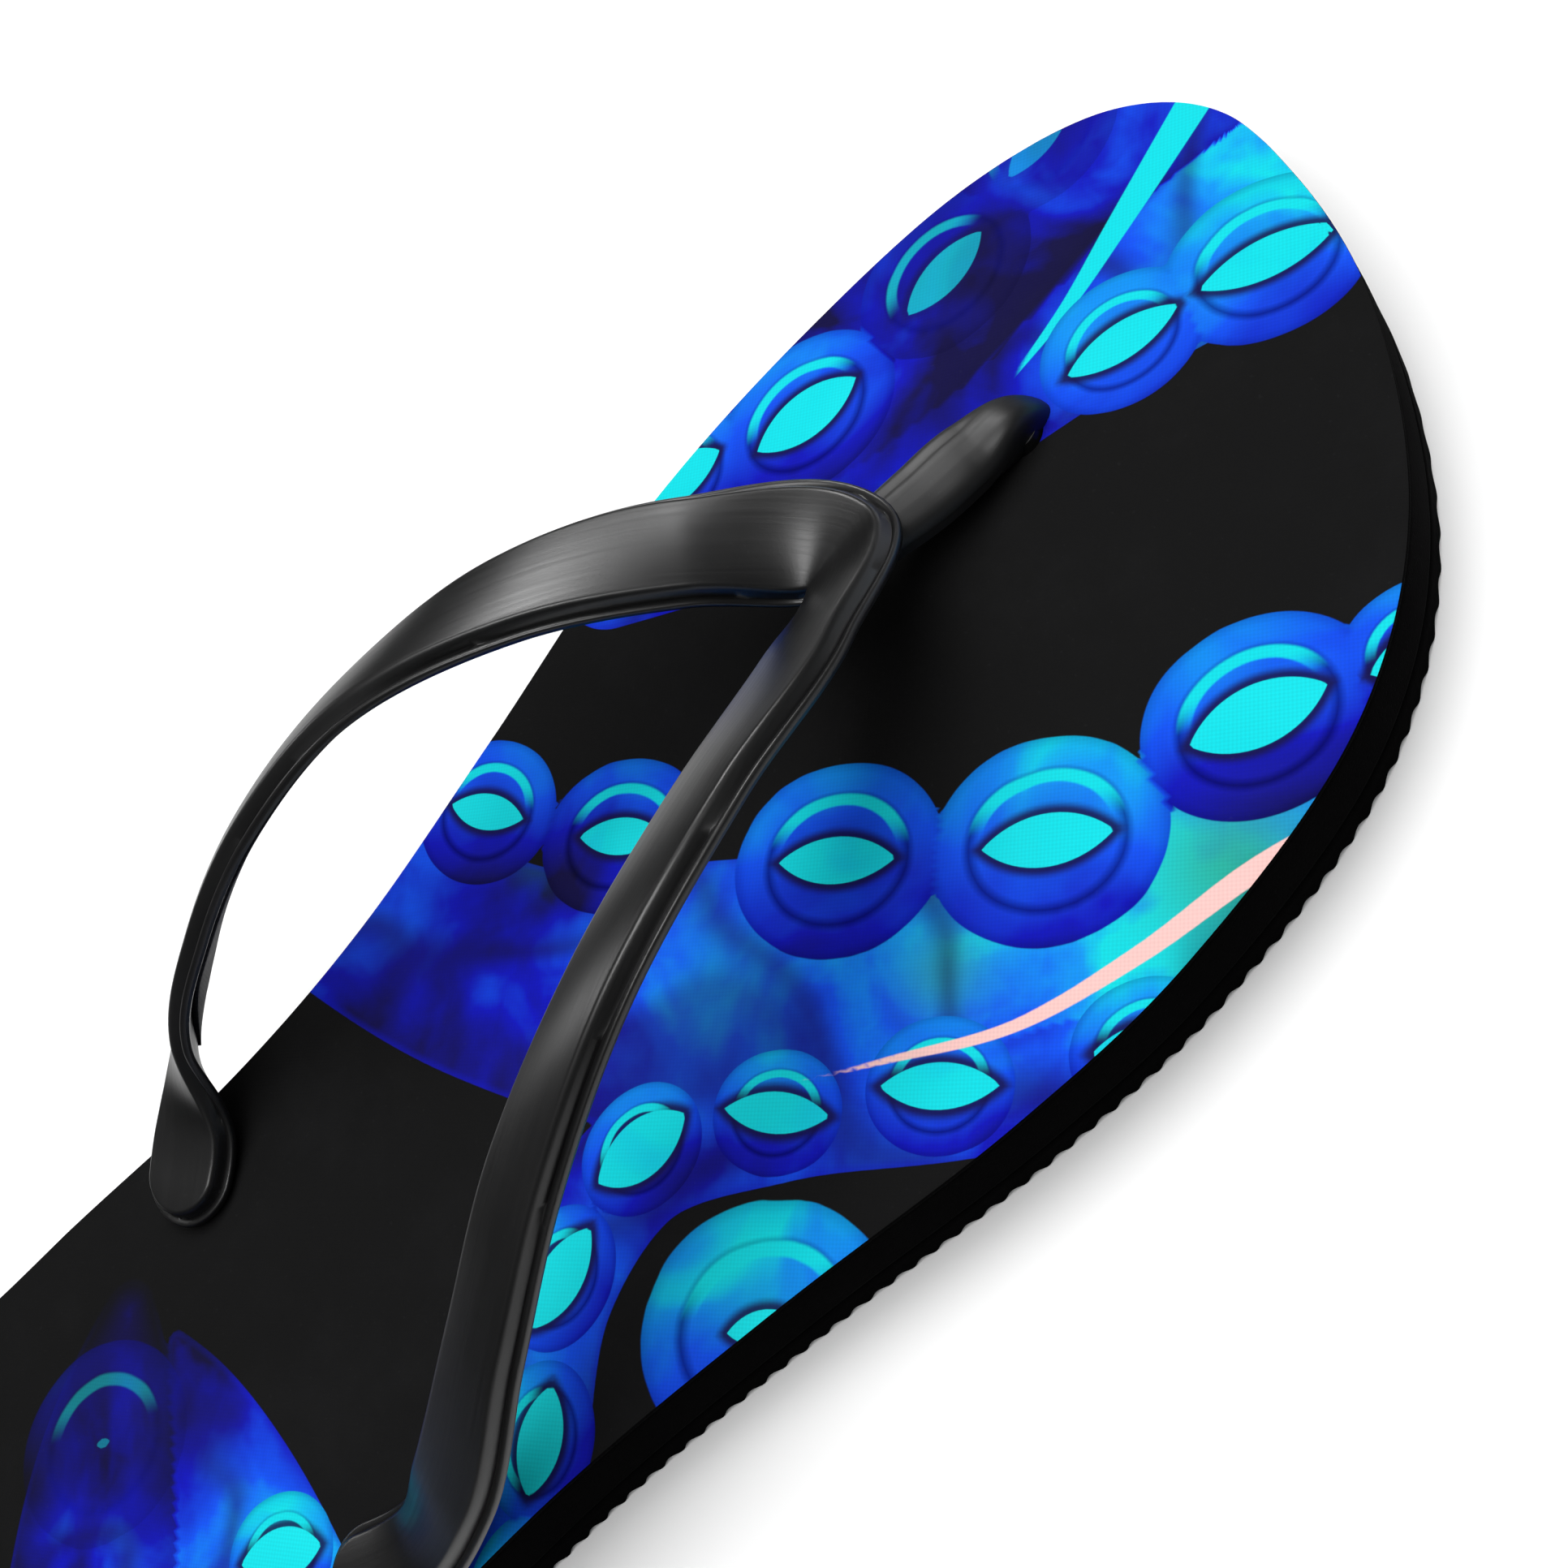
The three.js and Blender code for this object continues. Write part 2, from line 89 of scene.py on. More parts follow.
def makeStudio():
    camera = bpy.data.cameras.new("camera")
    camera.lens = studio["lens"]
    camera.sensor_width = 36
    camera.clip_start = 0.001
    cameraObject = bpy.data.objects.new("camera", camera)
    cameraObject.location = studio["cameraPlace"]
    cameraObject.rotation_euler = [math.radians(a) for a in studio["cameraTurn"]]
    bpy.context.scene.collection.objects.link(cameraObject)
    bpy.context.scene.camera = cameraObject
    bpy.context.scene.view_settings.view_transform = "Standard"

    for name, (azimuth, elevation, distance, size, power, gives) in softboxes.items():
        light = bpy.data.lights.new(name, "AREA")
        light.shape = "DISK"
        light.size = size
        light.energy = power
        lightObject = bpy.data.objects.new(name, light)
        a, e = math.radians(azimuth), math.radians(elevation)
        lightObject.location = (
            distance * math.cos(e) * math.cos(a),
            distance * math.cos(e) * math.sin(a),
            distance * math.sin(e),
        )
        lightObject.rotation_euler = (math.pi / 2 - e, 0, a + math.pi / 2)
        lightObject.visible_diffuse = gives != "shine"
        lightObject.visible_glossy = gives != "shade"
        bpy.context.scene.collection.objects.link(lightObject)

    # the sky is dim at the horizon and brighter overhead
    world = bpy.data.worlds.new("sky")
    world.use_nodes = True
    bpy.context.scene.world = world
    tree = world.node_tree
    direction = addNode(tree, "ShaderNodeTexCoord")
    parts = addNode(tree, "ShaderNodeSeparateXYZ")
    tree.links.new(direction.outputs["Generated"], parts.inputs[0])
    sky = rangeNode(tree, parts.outputs["Z"], 0.05, 1.0, studio["skyLow"], studio["skyTop"])
    # the camera sees a pale backdrop past the floor's edge
    path = addNode(tree, "ShaderNodeLightPath")
    seen = addNode(tree, "ShaderNodeMix")
    tree.links.new(path.outputs["Is Camera Ray"], seen.inputs[0])
    tree.links.new(sky, seen.inputs[2])
    seen.inputs[3].default_value = studio["backdrop"]
    tree.nodes["Background"].inputs["Color"].default_value = (1, 1, 1, 1)
    tree.links.new(seen.outputs[0], tree.nodes["Background"].inputs["Strength"])
    layOut(tree)

    half = studio["floorSize"] / 2
    floor = meshObject(
        "floor",
        np.array([(-half, -half, 0), (half, -half, 0), (half, half, 0), (-half, half, 0)]) / mm,
        [(0, 1, 2, 3)],
    )
    material = bpy.data.materials.new("palePaper")
    material.use_nodes = True
    shader = material.node_tree.nodes["Principled BSDF"]
    shade = studio["floorShade"]
    shader.inputs["Base Color"].default_value = (shade, shade, shade, 1)
    shader.inputs["Roughness"].default_value = 0.9
    shader.inputs["Specular IOR Level"].default_value = 0.0
    floor.data.materials.append(material)
    print("studio: camera, floor, sky and", len(softboxes), "softboxes")


# meshes


# Points in millimetres and faces of any number of corners become a mesh object in metres.
def meshObject(name, points, faces, smoothAngle=None):
    mesh = bpy.data.meshes.new(name)
    mesh.from_pydata((np.asarray(points) * mm).tolist(), [], [tuple(f) for f in faces])
    mesh.update()
    if smoothAngle is not None:
        mesh.shade_smooth()
        mesh.set_sharp_from_angle(angle=math.radians(smoothAngle))
    thing = bpy.data.objects.new(name, mesh)
    bpy.context.scene.collection.objects.link(thing)
    return thing


# Quads between neighbouring closed rings, and one face over each end.
def tubeFaces(rows, ring, start=0, flip=False):
    index = start + np.arange(rows * ring).reshape(rows, ring)
    after = np.roll(index, -1, axis=1)
    quads = np.stack([index[:-1], after[:-1], after[1:], index[1:]], -1).reshape(-1, 4)
    ends = [index[0][::-1].tolist(), index[-1].tolist()]
    faces = quads.tolist() + ends
    return [f[::-1] for f in faces] if flip else faces


# The signed volume's sign: the sum of each corner fan's triple products is below zero inside out.
def turnsInside(points, faces):
    quads = np.array([f for f in faces if len(f) == 4])
    a, b, c, d = (points[quads[:, k]] for k in range(4))
    volume = np.einsum("ij,ij->i", a, np.cross(b, c) + np.cross(c, d)).sum()
    return volume < 0


# Each grid is rings of points, rows by ring by 3; together they make one object of closed shells.
def tubeObject(name, grids, smoothAngle=40):
    points, faces = [], []
    start = 0
    for grid in grids:
        rows, ring = grid.shape[:2]
        flat = grid.reshape(-1, 3)
        own = tubeFaces(rows, ring)
        flip = turnsInside(flat, own)
        faces += tubeFaces(rows, ring, start, flip)
        points.append(flat)
        start += rows * ring
    return meshObject(name, np.vstack(points), faces, smoothAngle)


# A profile of (radius, height) carried round an upright axis through place.
def turnedGrid(profile, place, steps=64):
    angle = np.linspace(0, 2 * np.pi, steps, endpoint=False)
    profile = np.asarray(profile, float)
    return np.stack(
        [
            place[0] + profile[:, :1] * np.cos(angle),
            place[1] + profile[:, :1] * np.sin(angle),
            np.repeat(profile[:, 1:], steps, axis=1),
        ],
        -1,
    )


def smoothStep(value, low, high):  # 3s^2 - 2s^3 between low and high
    s = np.clip((value - low) / (high - low), 0, 1)
    return s * s * (3 - 2 * s)


def unit(vectors):
    return vectors / np.linalg.norm(vectors, axis=1)[:, None]


def runAlong(points):  # distance along a line of points
    return np.r_[0, np.cumsum(np.linalg.norm(np.diff(points, axis=0), axis=1))]


def squared(wave, power):  # a sine or cosine drawn out by a power under one
    return np.sign(wave) * np.abs(wave) ** power


def pointsMm(mesh):  # every vertex, in millimetres
    co = np.empty(len(mesh.vertices) * 3)
    mesh.vertices.foreach_get("co", co)
    return co.reshape(-1, 3) / mm


# UV in decimetres from u and v in millimetres, for the thing's first points; the others get 0.
def writeUv(thing, name, u, v):
    mesh = thing.data
    places = np.zeros((len(mesh.vertices), 2))
    places[: u.size] = np.stack([u, v], -1).reshape(-1, 2) / 100
    loops = np.empty(len(mesh.loops), np.int32)
    mesh.loops.foreach_get("vertex_index", loops)
    layer = mesh.uv_layers.new(name=name)
    layer.data.foreach_set("uv", places[loops].astype(np.float32).ravel())


# Slopes at uneven knots: the two neighbouring slopes, each weighted by the other's span.
def finiteTangents(knots, points):
    span = np.diff(knots)[:, None]
    slope = np.diff(points, axis=0) / span
    tangents = np.empty_like(points)
    tangents[1:-1] = (slope[:-1] * span[1:] + slope[1:] * span[:-1]) / (span[1:] + span[:-1])
    tangents[0] = slope[0] * 1.5 - tangents[1] * 0.5
    tangents[-1] = slope[-1] * 1.5 - tangents[-2] * 0.5
    return tangents


# Cubic Hermite curve through the points, evaluated at every value of at.
def hermite(knots, points, tangents, at):
    k = np.clip(np.searchsorted(knots, at, side="right") - 1, 0, len(knots) - 2)
    span = (knots[k + 1] - knots[k])[:, None]
    s = (at - knots[k])[:, None] / span
    return (
        (2 * s**3 - 3 * s**2 + 1) * points[k]
        + (s**3 - 2 * s**2 + s) * span * tangents[k]
        + (3 * s**2 - 2 * s**3) * points[k + 1]
        + (s**3 - s**2) * span * tangents[k + 1]
    )


# A smooth curve through the points, at even distances along it.
def smoothPath(points, count):
    points = np.asarray(points, float)
    knots = runAlong(points)
    fine = hermite(knots, points, finiteTangents(knots, points), np.linspace(0, knots[-1], 2000))
    run = runAlong(fine)
    even = np.linspace(0, run[-1], count)
    return np.stack([np.interp(even, run, fine[:, k]) for k in range(points.shape[1])], 1)


# shader helpers


def addNode(tree, kind, **settings):
    node = tree.nodes.new(kind)
    for key, value in settings.items():
        setattr(node, key, value)
    return node


# The value is a socket to link from, or a plain value to set.
def feed(tree, value, socket):
    if isinstance(value, bpy.types.NodeSocket):
        tree.links.new(value, socket)
    else:
        socket.default_value = value


# Each node goes one column left of what it feeds, one under the other.
def layOut(tree):
    column = {node.name: 0 for node in tree.nodes}
    for _ in range(len(column)):
        for link in tree.links:
            source = link.from_node.name
            column[source] = max(column[source], column[link.to_node.name] + 1)
    filled = {}
    for node in tree.nodes:
        at = column[node.name]
        filled[at] = filled.get(at, 0) + 1
        node.location = (-220 * at, -300 * filled[at])


# A Math node; a and b are sockets or numbers.
def mathNode(tree, operation, a, b=None):
    node = addNode(tree, "ShaderNodeMath", operation=operation)
    feed(tree, a, node.inputs[0])
    if b is not None:
        feed(tree, b, node.inputs[1])
    return node.outputs[0]


# A Color Ramp; stops are (position, linear colour).
def rampNode(tree, value, stops):
    node = addNode(tree, "ShaderNodeValToRGB")
    elements = node.color_ramp.elements
    while len(elements) < len(stops):
        elements.new(0.5)
    for element, (position, colour) in zip(elements, stops):
        element.position = position
        element.color = (*colour, 1)
    tree.links.new(value, node.inputs[0])
    return node.outputs[0]


# A Map Range node, smooth between its ends.
def rangeNode(tree, value, fromMin, fromMax, toMin, toMax):
    node = addNode(tree, "ShaderNodeMapRange", interpolation_type="SMOOTHSTEP")
    ends = {"Value": value, "From Min": fromMin, "From Max": fromMax, "To Min": toMin, "To Max": toMax}
    for key, end in ends.items():
        feed(tree, end, node.inputs[key])
    return node.outputs[0]


# Colour a turning into colour b by the factor; each is a socket or a linear colour.
def mixNode(tree, factor, a, b, blend="MIX"):
    node = addNode(tree, "ShaderNodeMix", data_type="RGBA", blend_type=blend)
    feed(tree, factor, node.inputs[0])
    for value, slot in ((a, 6), (b, 7)):
        feed(tree, (*value, 1) if isinstance(value, tuple) else value, node.inputs[slot])
    return node.outputs[2]


# A shader node group: a Vector and the named numbers go in, the named values come out.
def newGroup(name, inputs, outputs):
    group = bpy.data.node_groups.new(name, "ShaderNodeTree")
    group.interface.new_socket("Vector", in_out="INPUT", socket_type="NodeSocketVector")
    for label, value in inputs.items():
        socket = group.interface.new_socket(label, in_out="INPUT", socket_type="NodeSocketFloat")
        socket.default_value = value
    for label in outputs:
        group.interface.new_socket(label, in_out="OUTPUT", socket_type="NodeSocketFloat")
    return group, addNode(group, "NodeGroupInput"), addNode(group, "NodeGroupOutput")


def noiseNode(tree, vector, scale, detail, roughness, distortion=0.0):
    node = addNode(tree, "ShaderNodeTexNoise")
    numbers = {"Scale": scale, "Detail": detail, "Roughness": roughness, "Distortion": distortion}
    for key, value in {"Vector": vector, **numbers}.items():
        feed(tree, value, node.inputs[key])
    return node.outputs["Fac"]


def mappingNode(tree, vector, scale):
    node = addNode(tree, "ShaderNodeMapping")
    feed(tree, vector, node.inputs["Vector"])
    feed(tree, scale, node.inputs["Scale"])
    return node.outputs[0]


# Fine moulded skin: noise at one scale for the height, a broader one for patches of sheen.
def makeMouldedGrain():
    group, start, end = newGroup("mouldedGrain", {"Scale": 2500.0, "Depth": 1.0}, ["Height", "Patches"])
    place, scale = start.outputs["Vector"], start.outputs["Scale"]
    fine = noiseNode(group, place, scale, 3, 0.6)
    broad = noiseNode(group, place, mathNode(group, "MULTIPLY", scale, 0.05), 3, 0.55)
    group.links.new(mathNode(group, "MULTIPLY", fine, start.outputs["Depth"]), end.inputs["Height"])
    group.links.new(broad, end.inputs["Patches"])
    return group


# Plain weave: threads along X and Y as sine ridges that pass over and under each other in a checker.
def makeFineWeave():
    group, start, end = newGroup("fineWeave", {"Threads": 2600.0, "Slub": 0.3}, ["Height", "Thread"])
    split = addNode(group, "ShaderNodeSeparateXYZ")
    group.links.new(start.outputs["Vector"], split.inputs[0])
    waves = []
    for axis in "XY":
        turns = mathNode(group, "MULTIPLY", split.outputs[axis], start.outputs["Threads"])
        waves.append(mathNode(group, "SINE", mathNode(group, "MULTIPLY", turns, math.pi)))
    crossing = mathNode(group, "MULTIPLY", waves[0], waves[1])
    thread = mathNode(group, "ADD", mathNode(group, "MULTIPLY", crossing, 0.5), 0.5)
    slub = noiseNode(group, start.outputs["Vector"], 700.0, 3, 0.6)
    rough = mathNode(group, "MULTIPLY", slub, start.outputs["Slub"])
    group.links.new(mathNode(group, "ADD", thread, rough), end.inputs["Height"])
    group.links.new(thread, end.inputs["Thread"])
    return group


# Specks and a faint film, for faces that look up.
def makeLightDust():
    group, start, end = newGroup("lightDust", {"Amount": 0.3}, ["Dust"])
    film = noiseNode(group, start.outputs["Vector"], 60.0, 5, 0.65)
    specks = noiseNode(group, start.outputs["Vector"], 1500.0, 1, 0.5)
    speckMask = rangeNode(group, specks, 0.70, 0.78, 0.0, 1.0)
    filmMask = rangeNode(group, film, 0.45, 0.75, 0.0, 0.5)
    split = addNode(group, "ShaderNodeSeparateXYZ")
    group.links.new(addNode(group, "ShaderNodeNewGeometry").outputs["Normal"], split.inputs[0])
    upward = rangeNode(group, split.outputs["Z"], 0.2, 0.9, 0.0, 1.0)
    total = mathNode(group, "MULTIPLY", mathNode(group, "ADD", speckMask, filmMask), upward)
    group.links.new(mathNode(group, "MULTIPLY", total, start.outputs["Amount"]), end.inputs["Dust"])
    return group


def useGroup(tree, group, vector, **values):
    node = addNode(tree, "ShaderNodeGroup", node_tree=group)
    for key, value in {"Vector": vector, **values}.items():
        feed(tree, value, node.inputs[key])
    return node


def newMaterial(name):
    material = bpy.data.materials.new(name)
    material.use_nodes = True
    tree = material.node_tree
    shader = tree.nodes["Principled BSDF"]
    place = addNode(tree, "ShaderNodeTexCoord").outputs["Object"]
    return material, tree, shader, place


# The grain's patches take a look from its dark shade to its light one, and from smooth to rough.
def patchy(tree, grain, look):
    patches = grain.outputs["Patches"]
    shade = rampNode(tree, patches, [(0.3, look["dark"]), (0.8, look["light"])])
    return shade, rangeNode(tree, patches, 0.3, 0.7, look["smooth"], look["rough"])


def paint(tree, shader, colour, roughness, specular):
    values = {"Base Color": colour, "Roughness": roughness, "Specular IOR Level": specular}
    for key, value in values.items():
        feed(tree, value, shader.inputs[key])


def bumpInto(tree, shader, height, strength, distance):
    bump = addNode(tree, "ShaderNodeBump")
    for key, value in {"Height": height, "Strength": strength, "Distance": distance}.items():
        feed(tree, value, bump.inputs[key])
    tree.links.new(bump.outputs[0], shader.inputs["Normal"])


# sole outline


# The CAD cover's outer edge: its top corners away from the holes, sorted round the middle, then made
# a smooth closed curve with ten points in each span.
def coverOutline():
    co = pointsMm(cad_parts["printed_top_cover"].data)
    top = co[co[:, 2] > coverHigh[2] - 0.05][:, :2]
    near = np.linalg.norm(top[:, None] - stemPlaces[None], axis=2).min(axis=1)
    edge = np.unique(np.round(top[near > 5], 3), axis=0)
    edge = edge[np.argsort(np.arctan2(edge[:, 1], edge[:, 0]))]
    before, after, second = np.roll(edge, 1, 0), np.roll(edge, -1, 0), np.roll(edge, -2, 0)
    s = np.linspace(0, 1, 10, endpoint=False)[None, :, None]
    curve = (
        edge[:, None] * 2
        + (after - before)[:, None] * s
        + (2 * before - 5 * edge + 4 * after - second)[:, None] * s**2
        + (3 * edge - before - 3 * after + second)[:, None] * s**3
    ) / 2
    return curve.reshape(-1, 2)


outline = coverOutline()
outlineAlong = np.roll(outline, -1, 0) - np.roll(outline, 1, 0)
outlineOut = unit(np.stack([outlineAlong[:, 1], -outlineAlong[:, 0]], 1))
if (outlineOut * (outline - outline.mean(0))).sum() < 0:
    outlineOut = -outlineOut


# Left and right edge of the outline drawn in by inset, at rows given as shares -1 to 1 of its length.
def edgesAt(inset, share):
    curve = outline - outlineOut * inset
    toe, heel = curve[:, 1].argmax(), curve[:, 1].argmin()
    span = np.roll(curve, -heel, axis=0)
    turn = (toe - heel) % len(curve)
    one = span[: turn + 1]
    other = np.vstack([span[turn:], span[:1]])[::-1]
    y = (curve[toe, 1] + curve[heel, 1]) / 2 + share * (curve[toe, 1] - curve[heel, 1]) / 2
    xs = [np.interp(y, side[:, 1], side[:, 0]) for side in (one, other)]
    return np.minimum(*xs), np.maximum(*xs), y


# Even rows with spacing step, and close to each end rows that draw together as squares.
def rowShares(step, length):
    plain = np.arange(-1, 1, 2 * step / length)
    close = (np.arange(1, 12) / 12.0) ** 2 * 2 * step * 3 / length
    shares = np.r_[plain[np.abs(plain) < 1 - close[-1]], -1 + close, 1 - close, -0.99999, 0.99999]
    return np.unique(shares)


# A closed slab inside the outline. levels run from the underside's edge up to the top's edge as
# (inset, height); lift changes heights by place. Every row is one ring: the underside left to right,
# the right wall up, the top right to left, the left wall down.
def soleLayer(name, levels, topColumns, bottomColumns, step, lift=None, smoothAngle=40):
    share = rowShares(step, soleLength)
    ring = []
    edges = [edgesAt(inset, share) for inset, _ in levels]
    across = np.linspace(0, 1, bottomColumns)[1:-1]
    left, right, y = edges[0]
    for s in across:
        ring.append(np.stack([left + (right - left) * s, y, np.full_like(y, levels[0][1])], 1))
    for (left, right, y), (_, z) in zip(edges, levels):
        ring.append(np.stack([right, y, np.full_like(y, z)], 1))
    left, right, y = edges[-1]
    for s in np.linspace(1, 0, topColumns)[1:-1]:
        ring.append(np.stack([left + (right - left) * s, y, np.full_like(y, levels[-1][1])], 1))
    for (left, right, y), (_, z) in list(zip(edges, levels))[::-1]:
        ring.append(np.stack([left, y, np.full_like(y, z)], 1))
    grid = np.stack(ring, 1)
    if lift is not None:
        grid[..., 2] += lift(grid[..., 0], grid[..., 1], grid[..., 2])
    return tubeObject(name, [grid], smoothAngle)


soleLength = coverHigh[1] - coverLow[1]


# Cuts upright turned shapes, each a (profile, place), out of the thing with a Boolean.
def cutWith(thing, profiles):
    cutter = tubeObject("cutter", [turnedGrid(profile, place, 72) for profile, place in profiles])
    modifier = thing.modifiers.new("holes", "BOOLEAN")
    modifier.operation = "DIFFERENCE"
    modifier.solver = "EXACT"
    modifier.object = cutter
    evaluated = thing.evaluated_get(bpy.context.evaluated_depsgraph_get())
    cut = bpy.data.meshes.new_from_object(evaluated)
    thing.modifiers.clear()
    old = thing.data
    thing.data = cut
    bpy.data.meshes.remove(old)
    bpy.data.objects.remove(cutter)
    cut.name = thing.name
    cut.shade_smooth()
    cut.set_sharp_from_angle(angle=math.radians(35))


# outsole

outsoleLook = {
    "ripplePitch": 3.1,
    "rippleDepth": 1.0,
    "recessRoom": 0.3,
    "recessDepth": 3.3,
    "holeRadius": 3.3,
    "overcut": 2.0,
    "dark": (0.0006, 0.0006, 0.0006),
    "light": (0.0011, 0.0011, 0.0012),
    "smooth": 0.82,
    "rough": 0.95,
    "dusty": (0.006, 0.006, 0.0062),
}


# Height of the ripple over the ground: depth * ((1 - cos) / 2 - 0.03) ^ 0.8, and 0 where that is below 0.
def rippleHeight(y):
    wave = (1 - np.cos(2 * np.pi * y / outsoleLook["ripplePitch"])) / 2
    return outsoleLook["rippleDepth"] * np.clip(wave - 0.03, 0, 1) ** 0.8


def makeOutsole():
    top = outsoleHigh[2]
    levels = [(0.15, 0), (0.0, 0.12), (0.0, 0.9), (0.0, 1.9), (0.0, 3.1), (0.0, top - 0.2), (0.14, top)]

    # the ripple fades out up the wall
    def ripple(x, y, z):
        return rippleHeight(y) * np.clip(1 - z / 2.2, 0, 1)

    sole = soleLayer("rippledOutsole", levels, 8, 24, outsoleLook["ripplePitch"] / 11, ripple, 50)
    depth, hole, more = (outsoleLook[key] for key in ("recessDepth", "holeRadius", "overcut"))
    profiles = []
    for place, (low, high) in zip(stemPlaces, discBoxes):
        recess = (high[0] - low[0]) / 2 + outsoleLook["recessRoom"]
        profiles.append(([(recess, -more), (recess, depth), (hole, depth + 0.01), (hole, top + more)], place))
    cutWith(sole, profiles)

    material, tree, shader, place = newMaterial("blackSoleRubber")
    grain = useGroup(tree, mouldedGrain, place, Scale=1400.0, Depth=1.0)
    dust = useGroup(tree, lightDust, place, Amount=0.2)
    base, rough = patchy(tree, grain, outsoleLook)
    paint(tree, shader, mixNode(tree, dust.outputs["Dust"], base, outsoleLook["dusty"]), rough, 0.01)
    bumpInto(tree, shader, grain.outputs["Height"], 0.35, 0.0002)
    finish(sole, material, "outsole")


# Cuts the three plain holes through a layer.
def cutHoles(thing, low, high):
    hole, more = outsoleLook["holeRadius"], outsoleLook["overcut"]
    cutWith(thing, [([(hole, low - more), (hole, high + more)], place) for place in stemPlaces])


# footbed

footbedLook = {
    "edgeRound": 0.22,
    "swell": 0.06,
    "dark": (0.0007, 0.0007, 0.0007),
    "light": (0.0013, 0.0013, 0.0014),
    "smooth": 0.86,
    "rough": 0.98,
    "poreShade": (0.0004, 0.0004, 0.0004),
}


def makeFootbed():
    low, high = footbedLow[2], footbedHigh[2]
    r, swell = footbedLook["edgeRound"], footbedLook["swell"]
    levels = [(r, low), (0.05, low + 0.25), (0.0, low + 0.8), (-swell, (low + high) / 2)]
    levels += [(0.0, high - 0.8), (0.04, high - 0.2), (0.12, high)]
    bed = soleLayer("foamFootbed", levels, 14, 14, 1.0, None, 50)
    cutHoles(bed, low, high)

    material, tree, shader, place = newMaterial("blackFoam")
    grain = useGroup(tree, mouldedGrain, place, Scale=900.0, Depth=0.5)
    cells = addNode(tree, "ShaderNodeTexVoronoi", feature="F1")
    cells.inputs["Scale"].default_value = 2600.0
    tree.links.new(place, cells.inputs["Vector"])
    # each pore's hollow is painted darker, which is painted shade in the pores; the bump below also sinks
    # them
    pores = rangeNode(tree, cells.outputs["Distance"], 0.0, 0.45, 0.0, 1.0)
    base, rough = patchy(tree, grain, footbedLook)
    paint(tree, shader, mixNode(tree, pores, footbedLook["poreShade"], base), rough, 0.01)
    bumpInto(tree, shader, mathNode(tree, "ADD", pores, grain.outputs["Height"]), 0.3, 0.00015)
    finish(bed, material, "footbed")


# printed cover

coverLook = {
    "dimple": 0.28,
    "dimpleReach": 7.0,
    "ground": (0.0076, 0.0076, 0.0077),
    "navy": (0.0085, 0.0070, 0.0550),
    "deepBlue": (0.0075, 0.0100, 0.4600),
    "blue": (0.0085, 0.0850, 0.8000),
    "azure": (0.0085, 0.3000, 0.8200),
    "cyan": (0.0080, 0.6700, 0.7300),
    "blush": (0.9000, 0.5600, 0.5300),
    "leaf": (0.0300, 0.3300, 0.2100),
    "groundLight": (0.0081, 0.0081, 0.0083),
    "lensDeep": (0.0080, 0.52, 0.74),
    "lensPale": (0.012, 0.72, 0.77),
    "dust": (0.25, 0.25, 0.27),
}
# shade of a disc from its middle to its rim: share of the radius, colour it is multiplied by
discShades = [
    (0.0, (0.75, 0.75, 0.75)),
    (0.58, (1.0, 1.0, 1.0)),
    (0.66, (0.28, 0.28, 0.40)),
    (0.73, (1.0, 1.0, 1.0)),
    (0.90, (0.85, 0.85, 0.95)),
    (1.0, (0.55, 0.55, 0.70)),
]
# ribbons of colour over the sole: points (x, y, half width, tone), tone 0 is navy and 1 cyan
printRibbons = {
    "toeBand": [
        (-27, 150, 15, 0.16), (-34, 124, 13, 0.12), (-35, 102, 13.5, 0.14), (-38, 80, 14, 0.18),
        (-50, 58, 12, 0.35),
    ],
    "toeFlow": [
        (-4, 148, 12, 0.74), (-8, 126, 12, 0.70), (-13, 108, 9, 0.55), (-17, 92, 7, 0.30),
        (-27, 72, 7, 0.25), (-46, 50, 9, 0.6),
    ],
    "mainBody": [
        (60, 88, 12, 0.66), (42, 66, 14, 0.80), (26, 42, 15, 0.62), (8, 22, 16, 0.38),
        (-16, 4.5, 13.8, 0.30), (-52, -6, 16, 0.34),
    ],
    "sideChain": [
        (56, 60, 8, 0.55), (40, 38, 8, 0.5), (27, 22, 8, 0.42), (18, 5, 8, 0.36), (21, -12, 8.5, 0.34),
        (33, -25, 8, 0.4), (52, -42, 9, 0.5),
    ],
    "lowFlow": [
        (-15, -59, 1.5, 0.06), (-5, -60, 6, 0.12), (8, -62, 10.5, 0.30), (26, -66, 15, 0.55),
        (50, -74, 18, 0.6),
    ],
    "duskFlow": [(-24, -64, 5, 0.02), (-9, -77, 13.5, 0.08), (12, -92, 17, 0.16), (38, -112, 16, 0.3)],
    "heelFlow": [(-56, -100, 8, 0.35), (-34, -110, 8, 0.4), (-10, -122, 9, 0.5), (4, -142, 10, 0.6)],
}
